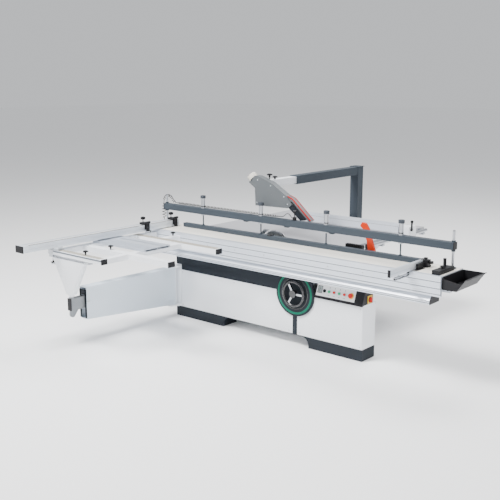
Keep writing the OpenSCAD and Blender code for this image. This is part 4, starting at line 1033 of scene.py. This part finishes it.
@dataclass
class Knobs:
    """Star knobs and bolts all over the machine.

    Attributes:
        short_stem: Profile of the studs under the frame knobs.
        long_stem: Profile of the studs of the boom knobs.
        bolt: Profile of a hexagon head.
        anchor: Profile of a hexagon head on its washer.
        washer: Profile of the swing arm's hinge caps.
        frame_knobs: Foot of each stud on the outrigger.
        boom: Along and across of the two boom knobs.
        bolt_pitch: Distance between the carriage's bolts, mm.
    """

    short_stem: Profile = ((0, 0), (5, 0), (5, 14), (0, 14))
    long_stem: Profile = ((0, 0), (5, 0), (5, 26), (0, 26))
    bolt: Profile = ((0, 5), (5, 5), (6.5, 4), (6.5, 0.1), (0, 0.1))
    anchor: Profile = ((0, 9), (9, 9), (11, 7), (11, 0.3), (0, 0.3))
    washer: Profile = ((0, 4), (14, 4), (17, 2.5), (17, 0.3), (0, 0.3))
    frame_knobs: tuple[Point, ...] = ((-1264, -168, 845.3), (-950, -168, 845.3),
                                      (-905, -974, 845.3), (-883, -1268, 847.5))
    boom: Profile = ((-195, 445), (-195, 364))
    bolt_pitch: float = 340.0

    def star(self, workshop: Workshop, centre: Point, up: Vector, size: float,
             mesh: bmesh.types.BMesh | None = None) -> bmesh.types.BMesh:
        """Add a five-lobed hand knob with its neck.

        Args:
            workshop: Where pieces are made.
            centre: Foot of its neck.
            up: Direction it points.
            size: Radius over the lobes, mm.
            mesh: Mesh to add it to, or None for a new one.

        Returns:
            The mesh.
        """
        body = ((0, 0), (0.34, 0), (0.3, 0.5), (0.72, 0.62), (0.78, 1.0), (0.5, 1.15), (0, 1.18))
        lobe = ((0, 0.58), (0.28, 0.62), (0.32, 0.85), (0.24, 1.04), (0, 1.08))
        foot = place(*centre)
        mesh = workshop.turned([(r * size, d * size) for r, d in body], foot, up, 24, mesh)
        side = up.orthogonal().normalized()
        for i in range(5):
            around = Matrix.Rotation(math.tau * i / 5, 3, up)
            spot = foot + (around @ side) * size * 0.68 * MM
            mesh = workshop.turned([(r * size, d * size) for r, d in lobe], spot, up, 12, mesh)
        return mesh

    def build(self, workshop: Workshop) -> None:
        """Make every knob and bolt head.

        Args:
            workshop: Where pieces are made.
        """
        table = None
        for x, y, z in self.frame_knobs:
            table = workshop.turned(self.short_stem, place(x, y, z), UP, 16, table)
            table = self.star(workshop, (x, y, z + 12), UP, 25, table)
        table = self.star(workshop, (-1344, -1266, 740), -UP, 24, table)
        table = self.star(workshop, (-1372, -1266, 800), LEFT, 14, table)
        workshop.fix("frame_knobs", table, "sliding_table", Finishes.BLACK)
        for name, body, foot, size in (("outer_stop_knob", "outer_stop", (-1258, -268, 984), 25),
                                       ("inner_stop_knob", "inner_stop", (-1258, 108, 984), 25)):
            workshop.fix(name, self.star(workshop, foot, UP, size), body,
                         Finishes.BLACK)
        (x0, y0), (x1, y1) = self.boom
        boom = workshop.turned(self.long_stem, place(x0, y0, 1330.6), -UP, 16)
        boom = self.star(workshop, (x0, y0, 1306), -UP, 25, boom)
        boom = self.star(workshop, (x0, y0, 1395.4), UP, 25, boom)
        boom = workshop.turned(self.long_stem, place(x1, y1, 1395.4), UP, 16, boom)
        boom = self.star(workshop, (x1, y1, 1421), UP, 28, boom)
        workshop.fix("boom_knobs", boom, "guard_boom", Finishes.BLACK)
        for name, body, foot, size in (("stop_knob", "front_stop", (1588, 105, 928.3), 18),
                                       ("end_knob", "sliding_table", (1772, 20, 902.2), 20)):
            workshop.fix(name, self.star(workshop, foot, UP, size), body,
                         Finishes.BLACK)
        carriage = [(-1230 + i * self.bolt_pitch, -112.4, 800) for i in range(9)]
        post = [(x, y, 14) for x in (-325, -65) for y in (1730, 1978)]
        arm = [(x, 1774, z) for z in (1338, 1388) for x in (-228, -162)]
        hinge = [(-1105, -55, z) for z in (122.6, 516.6)]
        for name, profile, spots, direction, steps, body in (
                ("carriage_bolts", self.bolt, carriage, FRONT, 6, "sliding_table"),
                ("post_bolts", self.anchor, post, UP, 6, "machine"),
                ("arm_bolts", self.bolt, arm, FRONT, 6, "machine"),
                ("hinge_caps", self.washer, hinge, UP, 24, "machine")):
            workshop.turnings(name, profile, spots, direction, steps, body,
                              Finishes.STEEL)


@dataclass
class ClampBeam:
    """Caps of the air cylinders, the hand valve and the rubber foot of the clamping rail.

    Attributes:
        line: Across of the beam's middle, mm.
        cylinders: Along of each air cylinder, mm.
        valve: Along of the hand valve, mm.
        valve_half: Half the side of the valve's body, mm.
        hose: Along of the hose's fitting, mm.
        brackets: Along of each bracket under the beam, mm.
    """

    line: float = 190.0
    cylinders: tuple[float, ...] = (-887, -154, 579, 1312)
    valve: float = 234.0
    valve_half: float = 13.4
    hose: float = -1440.0
    brackets: tuple[float, ...] = (-330, 150, 640)

    def build(self, workshop: Workshop) -> None:
        """Make the beam's details.

        Args:
            workshop: Where pieces are made.
        """
        feet = [(x, self.line, 0) for x in self.cylinders]
        cap = ((0, 1205.5), (20, 1205.5), (26, 1202), (26.4, 1180), (25.2, 1177.6), (25.2, 1204),
               (0, 1204.2))
        band = ((19.1, 1094), (20.6, 1095), (20.6, 1101), (19.1, 1102), (19.1, 1094))
        knob = ((0, 1170.5), (8, 1170), (14, 1166), (14, 1151), (4.6, 1149), (4.6, 1111), (0, 1111))
        fitting = ((0, 904.6), (4, 904.6), (9.5, 898), (9.8, 866), (0, 862.3))
        workshop.turnings("cylinder_caps", cap, feet, UP, 40,
                          "sliding_table", Finishes.CASTING)
        workshop.turnings("cylinder_bands", band, feet, UP, 40,
                          "sliding_table", Finishes.BLACK)
        half = self.valve_half
        workshop.bars("valve_body", [((self.valve - half, self.line - half, 1080.3),
                                      (self.valve + half, self.line + half, 1111))],
                      "sliding_table", Finishes.BLACK, 1.5)
        workshop.turnings("valve_knob", knob, [(self.valve, self.line, 0)], UP, 32,
                          "sliding_table", Finishes.BLACK)
        workshop.turnings("hose_fitting", fitting, [(self.hose, self.line, 0)], UP, 24,
                          "sliding_table", Finishes.STEEL)
        workshop.bars("rail_foot", [((-1133, 167, 869.4), (1559, 213, 870.6))],
                      "pressure_rail", Finishes.RUBBER)
        humps = None
        for x in self.brackets:
            hump = [(x - 34, 1021.6), (x - 20, 1008), (x + 20, 1008), (x + 34, 1021.6)]
            humps = workshop.slab(hump, self.line - 14, self.line + 14, humps)
        workshop.fix("beam_brackets", humps, "sliding_table", Finishes.BEAM_GREY, 1.0)
        workshop.bars("rail_clip", [((-60, 163.5, 910.2), (-20, 216.5, 918))],
                      "pressure_rail", Finishes.BLACK, 1.0)


@dataclass
class SlidingTrim:
    """Painted groove shade, ridges, slats and bright rods of the sliding side.

    Attributes:
        left: Along of the trim's left end, mm.
        right: Along of its right end, mm.
        front: Across of the carriage's front face, mm.
        grooves: Height of each groove's middle, mm.
        ridges: Lower and upper edge of each ridge.
        slat_pitch: Distance between the slats of the outrigger's bars, mm.
        slat_rows: Left, right, nearer and farther edge of each row of slats.
        rods: Along of the beam's two end rods, mm.
    """

    left: float = -1410.0
    right: float = 1830.0
    front: float = -112.0
    grooves: tuple[float, ...] = (728.0, 773.0, 824.0)
    ridges: Profile = ((737, 743), (757, 765), (781, 788), (800, 806))
    slat_pitch: float = 16.0
    slat_rows: tuple[Edges, ...] = ((-1290, -210, -368, -304), (-1290, -660, -1296, -1244))
    rods: Pair = (-1393, 1773)

    def build(self, workshop: Workshop) -> None:
        """Make the sliding side's details.

        Args:
            workshop: Where pieces are made.
        """
        left, right, front = self.left, self.right, self.front
        # Dark strips at the bottoms of the carriage's grooves and of its top T-slot are painted shade.
        inlays = [((left, front + 3.2, z - 2.8), (right, front + 3.9, z + 2.8))
                  for z in self.grooves]
        inlays.append(((left, -89.8, 854.2), (right, -80.2, 855)))
        workshop.bars("carriage_groove_shade", inlays, "sliding_table", Finishes.GROOVE_SHADE_AND_SCALE,
                      smooth=False)
        ridges = [((left, front - 2.2, z0), (right, front - 0.05, z1)) for z0, z1 in self.ridges]
        workshop.bars("carriage_ridges", ridges, "sliding_table", Finishes.ANODISED,
                      0.6)
        # Dark strips along the guide beam's grooves are painted shade.
        lines = [((-1369, -105.2, z0), (1741, -104.05, z1)) for z0, z1 in ((646, 650), (660, 662))]
        workshop.bars("guide_groove_shade", lines, "machine", Finishes.GROOVE_SHADE_AND_SCALE, smooth=False)
        slats = [((x0 + i * self.slat_pitch, y0, 845.05),
                  (x0 + i * self.slat_pitch + 9, y1, 847.4))
                 for x0, x1, y0, y1 in self.slat_rows
                 for i in range(int((x1 - x0) / self.slat_pitch))]
        workshop.bars("bar_slats", slats, "sliding_table", Finishes.SLAT,
                      smooth=False)
        workshop.bars("outer_bar_scale", [((-1296, -1302.2, 826), (-642, -1300.05, 838))],
                      "sliding_table", Finishes.GROOVE_SHADE_AND_SCALE, 0.5)
        loop = [((1551.4, -331, z), (1566.6, -112.6, z + 6)) for z in (835.4, 852.6)]
        workshop.bars("stop_loop_rods", loop, "front_stop", Finishes.STEEL, 1.5)
        cap = ((0, 1170.1), (8, 1170.1), (9.5, 1171.5), (8.6, 1174), (0, 1174.6))
        rods = None
        for x in self.rods:
            foot = place(x, ClampBeam.line, 0)
            for z0, z1 in ((880, 1020), (1092, 1168)):
                rod = ((9.9, z0), (10.4, z0 + 0.5), (10.4, z1 - 0.5), (9.9, z1), (9.9, z0))
                rods = workshop.turned(rod, foot, UP, 24, rods)
            rods = workshop.turned(cap, foot, UP, 24, rods)
        workshop.fix("end_rods", rods, "sliding_table", Finishes.STEEL)


@dataclass
class RearDoor:
    """Service door, air slots and screws on the back of the rear body.

    Attributes:
        back: Across of the rear body's back, mm.
        slots: How many air slots the door has.
        first_slot: Height of the lowest slot, mm.
        slot_pitch: Distance between slots, mm.
        outlet: Along and up of the dust outlet's middle.
    """

    back: float = 900.0
    slots: int = 9
    first_slot: float = 470.0
    slot_pitch: float = 16.0
    outlet: Pair = (-58, 260)

    def build(self, workshop: Workshop) -> None:
        """Make the rear details.

        Args:
            workshop: Where pieces are made.
        """
        back = self.back
        slots = [self.first_slot + i * self.slot_pitch for i in range(self.slots)]
        workshop.bars("service_door", [((90, back + 0.1, 150), (440, back + 2.2, 640))],
                      "machine", Finishes.SHEET_WHITE, 0.8)
        lids = [((130, back + 2.25, z), (400, back + 4.5, z + 5)) for z in slots]
        workshop.bars("door_louvres", lids, "machine", Finishes.SHEET_WHITE, 0.8)
        # Black strips under each louvre lid are painted shade in its gap.
        gaps = [((132, back + 2.25, z - 4), (398, back + 2.6, z)) for z in slots]
        workshop.bars("louvre_gap_shade", gaps, "machine", Finishes.BLACK, smooth=False)
        head = ((0, 4.3), (4, 4.1), (6, 3), (6.3, 2.3), (0, 2.3))
        screws = [(x, back, z) for x in (104, 426) for z in (164, 395, 626)]
        workshop.turnings("door_screws", head, screws, BACK, 20, "machine", Finishes.STEEL)
        bead = ((61, 61), (66, 61), (66, 57), (67.5, 54), (65.2, 52), (65.2, 60.2), (61, 60.2), (61, 61))
        workshop.turnings("outlet_bead", bead, [(self.outlet[0], back, self.outlet[1])], BACK, 48,
                          "machine", Finishes.BLACK)


@dataclass
class SupportTrim:
    """Caps, bumpers and bolts of the swing arm and its tube.

    Attributes:
        x: Along of the arm's middle, mm.
        mouth: Nearer and farther face of the arm's mouth, mm.
    """

    x: float = -1105.0
    mouth: Pair = (-1146, -1140.1)

    def build(self, workshop: Workshop) -> None:
        """Make the support's details.

        Args:
            workshop: Where pieces are made.
        """
        x, (y0, y1) = self.x, self.mouth
        workshop.bars("arm_tube_cap", [((x - 25, -1295, 321), (x + 25, -1288.2, 431))],
                      "arm_tube", Finishes.BLACK, 1.5)
        guard = [((x + left, y0, z), (x + right, y1, 488))
                 for left, right, z in ((-46, -26, 226), (26, 46, 226), (-46, 46, 440))]
        workshop.bars("arm_mouth", guard, "swing_arm", Finishes.SHEET_DARK, 1.0)
        bolt = ((0, 4), (7, 4), (8.5, 3), (8.5, 0.1), (0, 0.1))
        workshop.turnings("arm_bolts_side", bolt, [(x + 47, y, 380) for y in (-1130, -1115)], RIGHT, 6,
                          "swing_arm", Finishes.STEEL)


@dataclass
class FenceScales:
    """Scale tapes, slots and the white end plate of the crosscut fence.

    Attributes:
        tape: The scale tape on the fence.
        ticks: How many marks the tape has.
        tick_pitch: Distance between marks, mm.
        slots: The fence's two long slots, with black strips of painted shade at their bottoms.
        seam: The line of painted slot shadow beside the tape.
        end: The white end plate.
        rip_line: The dark line on the rip fence.
        panel: The small scale on the outrigger's panel.
    """

    tape: Box = ((-1252, -1598, 938.05), (-1234, 168, 938.5))
    ticks: int = 176
    tick_pitch: float = 10.0
    slots: tuple[Box, ...] = (((-1287.6, -1600, 934.2), (-1280.4, 169, 935.4)),
                              ((-1235.6, -1600, 930.2), (-1226.4, 169, 931.6)))
    seam: Box = ((-1222, -1600, 938.05), (-1213, 169, 939))
    end: Box = ((-1309, 170.2, 880), (-1207, 174, 937))
    rip_line: Box = ((-410, 1242.4, 931), (680, 1243, 932.6))
    panel: Box = ((-1288, -652, 868.05), (-1230, -626, 868.6))

    def build(self, workshop: Workshop) -> None:
        """Make the fence's inlays.

        Args:
            workshop: Where pieces are made.
        """
        fence, black = "crosscut_fence", "black_plastic"
        workshop.bars("fence_tape", [self.tape], fence, Finishes.LABEL_WHITE)
        x, z = self.tape[0][0], self.tape[1][2]
        ticks = []
        for i in range(self.ticks):
            y = -1594 + i * self.tick_pitch
            ticks.append(((x, y, z), (x + (10 if i % 5 == 0 else 6), y + 1, z + 0.2)))
        workshop.bars("fence_ticks", ticks, fence, Finishes.GLOSS_BLACK, smooth=False)
        # The brown line beside the tape is painted slot shadow.
        workshop.bars("fence_slot_shadow", [self.seam], fence, Finishes.SLOT_SHADOW_BROWN, smooth=False)
        # Black strips at the bottoms of the two slots are painted shade.
        workshop.bars("fence_slot_shade", self.slots, fence, Finishes.BLACK, smooth=False)
        workshop.bars("fence_end_plate", [self.end], fence, Finishes.SHEET_WHITE, 1.0)
        workshop.bars("rip_fence_line", [self.rip_line], "rip_carriage", Finishes.BLACK,
                      smooth=False)
        workshop.bars("panel_scale", [self.panel], "sliding_table", Finishes.LABEL_WHITE)


@dataclass
class GuardTrim:
    """Red deflector edge, dust spout sleeve and fixings of the blade hood.

    Attributes:
        y: Across of the hood's middle, mm.
        half: Half the deflector's width, mm.
        sheet: Along and up of the deflector sheet's corners.
        edge: The same for its red edge.
        bar: The same for the dark bar behind it.
        cheek: The same for the raised field on the hood's side.
        spout: Along and up of the spout's foot.
        spout_lean: How far the spout leans, degrees.
        screws: Along and up of the hood's screws.
    """

    y: float = 290.0
    half: float = 27.5
    sheet: Profile = ((92, 1281), (152, 1259), (357.5, 1080.5), (339, 1066), (146, 1234), (127, 1231))
    edge: Profile = ((91, 1283), (153, 1261), (359.5, 1081.5), (351.5, 1075), (149, 1251.5), (108, 1265))
    bar: Profile = ((118, 1187), (147, 1199), (289.5, 1077), (241, 1069.4), (111, 1169))
    cheek: Profile = ((-262, 1176), (-268, 1312), (-236, 1330), (-120, 1300), (-6, 1238), (70, 1186))
    spout: Pair = (-318, 1402)
    spout_lean: float = -48.0
    screws: Profile = ((-255, 1190), (-250, 1400), (-95, 1358), (60, 1270), (100, 1205))

    def build(self, workshop: Workshop) -> None:
        """Make the hood's details.

        Args:
            workshop: Where pieces are made.
        """
        y0, y1 = self.y - self.half, self.y + self.half
        workshop.fix("deflector_sheet", workshop.slab(self.sheet, y0, y1),
                     "guard_hood", Finishes.HOOD, 1.0)
        rims = workshop.slab(self.edge, y0 - 1.5, y0 + 9)
        rims = workshop.slab(self.edge, y1 - 9, y1 + 1.5, rims)
        workshop.fix("deflector_edge", rims, "guard_hood", Finishes.STRIP_RED, 1.5)
        workshop.fix("deflector_bar", workshop.slab(self.bar, y0, y1),
                     "guard_hood", Finishes.SHEET_DARK, 1.5)
        lean = math.radians(self.spout_lean)
        axis = Vector((math.sin(lean), 0, math.cos(lean)))
        sleeve = ((38.3, 2), (43.2, 2), (44.4, 8), (44.4, 40), (43.2, 46.6), (38.3, 46.6), (38.3, 2))
        workshop.turnings("spout_sleeve", sleeve, [(self.spout[0], self.y, self.spout[1])], axis, 48,
                          "guard_hood", Finishes.CREAM)
        workshop.fix("hood_cheek", workshop.slab(self.cheek, self.y - 36.2, self.y - 34.9),
                     "guard_hood", Finishes.HOOD, 1.0)
        head = ((0, 3), (4, 2.6), (6, 1), (6, 0), (0, 0))
        workshop.turnings("hood_screws", head, [(x, self.y - 35, z) for x, z in self.screws], FRONT, 16,
                          "guard_hood", Finishes.STEEL)


@dataclass
class BladeDetail:
    """Expansion slots and the bright band of the saw blade.

    Attributes:
        centre: Middle of the blade.
        slots: How many slots it has.
    """

    centre: Point = (-58, 290, 771)
    slots: int = 6

    def build(self, workshop: Workshop) -> None:
        """Make the blade's details.

        Args:
            workshop: Where pieces are made.
        """
        slots = None
        for i in range(self.slots):
            angle = math.tau * (i + 0.5) / self.slots
            slots = workshop.spoke(place(*self.centre), (-0.8, -1.75, 128), (0.8, 1.75, 158),
                                   angle, slots)
        workshop.fix("expansion_slots", slots, "saw_arbor", Finishes.GLOSS_BLACK,
                     smooth=False)
        ring = ((86, 1.65), (86, 1.85), (112, 1.85), (112, 1.65), (86, 1.65))
        workshop.turnings("blade_band", ring, [self.centre], FRONT, 64,
                          "saw_arbor", Finishes.STEEL)


@dataclass
class Studio:
    """Floor, lights and camera."""

    location: Point = (4.522, -5.880, 2.289)
    pitch: float = 78.24
    turn: float = 40.3
    lens: float = 58.1

    def camera(self) -> None:
        """Place the camera."""
        data = bpy.data.cameras.new("camera")
        data.lens = self.lens
        data.sensor_width = 36.0
        data.clip_end = 200.0
        camera = bpy.data.objects.new("camera", data)
        camera.location = self.location
        camera.rotation_euler = (math.radians(self.pitch), 0.0, math.radians(self.turn))
        bpy.context.scene.collection.objects.link(camera)
        bpy.context.scene.camera = camera

    def floor(self) -> None:
        """Lay a plain pale floor and light the world softly."""
        mesh = bmesh.new()
        bmesh.ops.create_grid(mesh, x_segments=1, y_segments=1, size=60.0)
        data = bpy.data.meshes.new("floor")
        mesh.to_mesh(data)
        mesh.free()
        material = bpy.data.materials.new("pale_floor")
        material.use_nodes = True
        shader = material.node_tree.nodes["Principled BSDF"]
        shader.inputs["Base Color"].default_value = (0.97, 0.97, 0.97, 1)
        shader.inputs["Roughness"].default_value = 0.9
        data.materials.append(material)
        floor = bpy.data.objects.new("floor", data)
        floor.location = (0, 0, -0.0005)
        bpy.context.scene.collection.objects.link(floor)
        world = bpy.data.worlds.new("studio")
        world.use_nodes = True
        world.node_tree.nodes["Background"].inputs["Color"].default_value = (0.95, 0.97, 1.0, 1)
        world.node_tree.nodes["Background"].inputs["Strength"].default_value = 0.72
        bpy.context.scene.world = world

    def lights(self) -> None:
        """Hang three soft lamps around the machine."""
        for name, at, size, power in (("key", (-1.5, -4.0, 7.0), 2.5, 1150.0),
                                      ("side", (7.0, -3.5, 2.5), 2.0, 150.0),
                                      ("back", (0.5, 4.0, 7.0), 3.0, 500.0)):
            data = bpy.data.lights.new(name, "AREA")
            data.size = size
            data.energy = power
            lamp = bpy.data.objects.new(name, data)
            lamp.location = at
            aim = Vector((0, 0, 0.6)) - Vector(at)
            lamp.rotation_euler = aim.to_track_quat("-Z", "Y").to_euler()
            bpy.context.scene.collection.objects.link(lamp)


def main() -> None:
    """Load the frame, build every sub-assembly and log the name of each piece."""
    logging.basicConfig(level=logging.INFO)
    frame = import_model()
    workshop = Workshop(Finishes(), frame["nodes"])
    studio = Studio()
    studio.camera()
    AirHose().build(workshop)
    Dressing().apply(workshop)
    for assembly in (ControlPanel(), FasciaTrim(), WheelGrip(), ProfileEnds(), Knobs(), ClampBeam(),
                     SlidingTrim(), RearDoor(), SupportTrim(), FenceScales(), GuardTrim(), BladeDetail()):
        before = len(workshop.made)
        assembly.build(workshop)
        for name in workshop.made[before:]:
            LOG.info("%s: %s", type(assembly).__name__, name)
    studio.floor()
    studio.lights()


if __name__ == "__main__":
    main()
